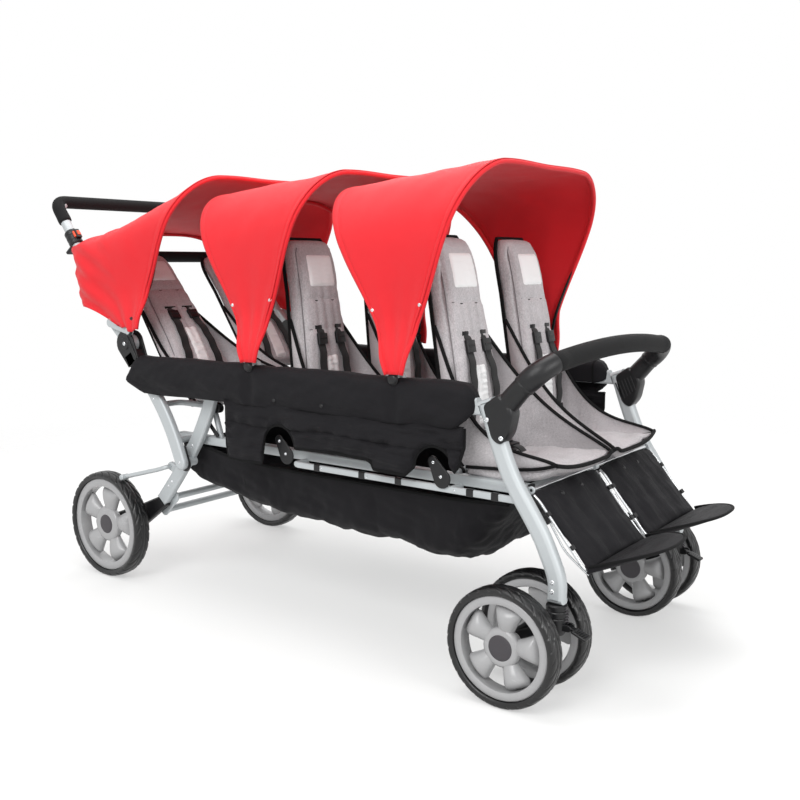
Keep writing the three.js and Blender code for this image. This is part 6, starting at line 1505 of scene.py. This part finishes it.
# %% [markdown]
# Padding. Filled cloth is round where it is free and tight at its seams, which is hard to draw and easy to
# simulate: each pad is remeshed evenly, blown up from inside as cloth with no gravity, and held to a few
# millimetres of travel. The sewing is pressed in afterwards, because a remesh would wipe such narrow lines out.
# %% Padding
def points_of(mesh):
    """The places of a mesh's corners as one array."""
    flat = np.empty(len(mesh.vertices) * 3, np.float32)
    mesh.vertices.foreach_get("co", flat)
    return flat.reshape(-1, 3).astype(float)


def baked(things):
    """New meshes of some objects as their modifiers leave them."""
    graph = bpy.context.evaluated_depsgraph_get()
    return [bpy.data.meshes.new_from_object(thing.evaluated_get(graph)) for thing in things]


def blown(things, caps, voxel=0.006, pressure=4.0, frames=20):
    """Even remesh, then cloth under inside pressure; each point's travel is bent below its cap by a tanh."""
    for thing in things:
        even_mesh = thing.modifiers.new("Remesh", "REMESH")
        even_mesh.mode, even_mesh.voxel_size = "VOXEL", voxel
    for thing, fresh in zip(things, baked(things)):
        thing.modifiers.clear()
        thing.data = fresh
        skin_cloth = thing.modifiers.new("Cloth", "CLOTH")
        skin_cloth.settings.use_pressure, skin_cloth.settings.uniform_pressure_force = True, pressure
        skin_cloth.settings.effector_weights.gravity = 0
        skin_cloth.point_cache.frame_start, skin_cloth.point_cache.frame_end = 1, frames
    for number in range(1, frames + 1):
        scene.frame_set(number)
    for thing, full, cap in zip(things, baked(things), caps):
        start = points_of(thing.data)
        travel = points_of(full) - start
        size = np.maximum(np.linalg.norm(travel, axis=1, keepdims=True), 1e-9)
        thing.modifiers.clear()
        thing.data.vertices.foreach_set("co", (start + travel / size * cap * MM * np.tanh(size / (cap * MM))).ravel())
        print(thing.name, len(start), "points, travel up to", round(float(size.max()) / MM, 1), "mm before the cap")
    scene.frame_set(1)


def sewn(pad, row, s):
    """A back's face held to its drawn depth and pressed in at its seams, by its own share and depth of each point."""
    pivot_x, pivot_z, _, lean, length = ROWS[row]
    lean = math.radians(lean)
    p = (points_of(pad.data) - [AXLE_X, 0, 0]) / MM
    dx, dz = p[:, 0] - pivot_x, p[:, 2] - pivot_z
    reach, depth = dz * math.cos(lean) - dx * math.sin(lean), dx * math.cos(lean) + dz * math.sin(lean)
    v = np.clip((reach - PAD_FROM) / (length - PAD_FROM), 0, 1)
    a = np.clip((p[:, 1] - s * SEAT_Y) / back_outline(v), -1, 1)
    finished = np.minimum(depth, face_depth(v, a) + 2.0) - sewn_depth(v, a)
    depth = np.where(depth > 2.0, np.maximum(finished, 1.0), depth)
    p[:, 0] = pivot_x - math.sin(lean) * reach + math.cos(lean) * depth
    p[:, 2] = pivot_z + math.cos(lean) * reach + math.sin(lean) * depth
    pad.data.vertices.foreach_set("co", place(p).ravel())


blown([entry[0] for entry in pads], [entry[1] for entry in pads])
for pad, _, row, s in pads:
    if s:
        sewn(pad, row, s)
    pad.data.shade_smooth()
    rounder = pad.modifiers.new("Smooth", "SUBSURF")
    rounder.levels = rounder.render_levels = 1
print("pads:", len(pads))
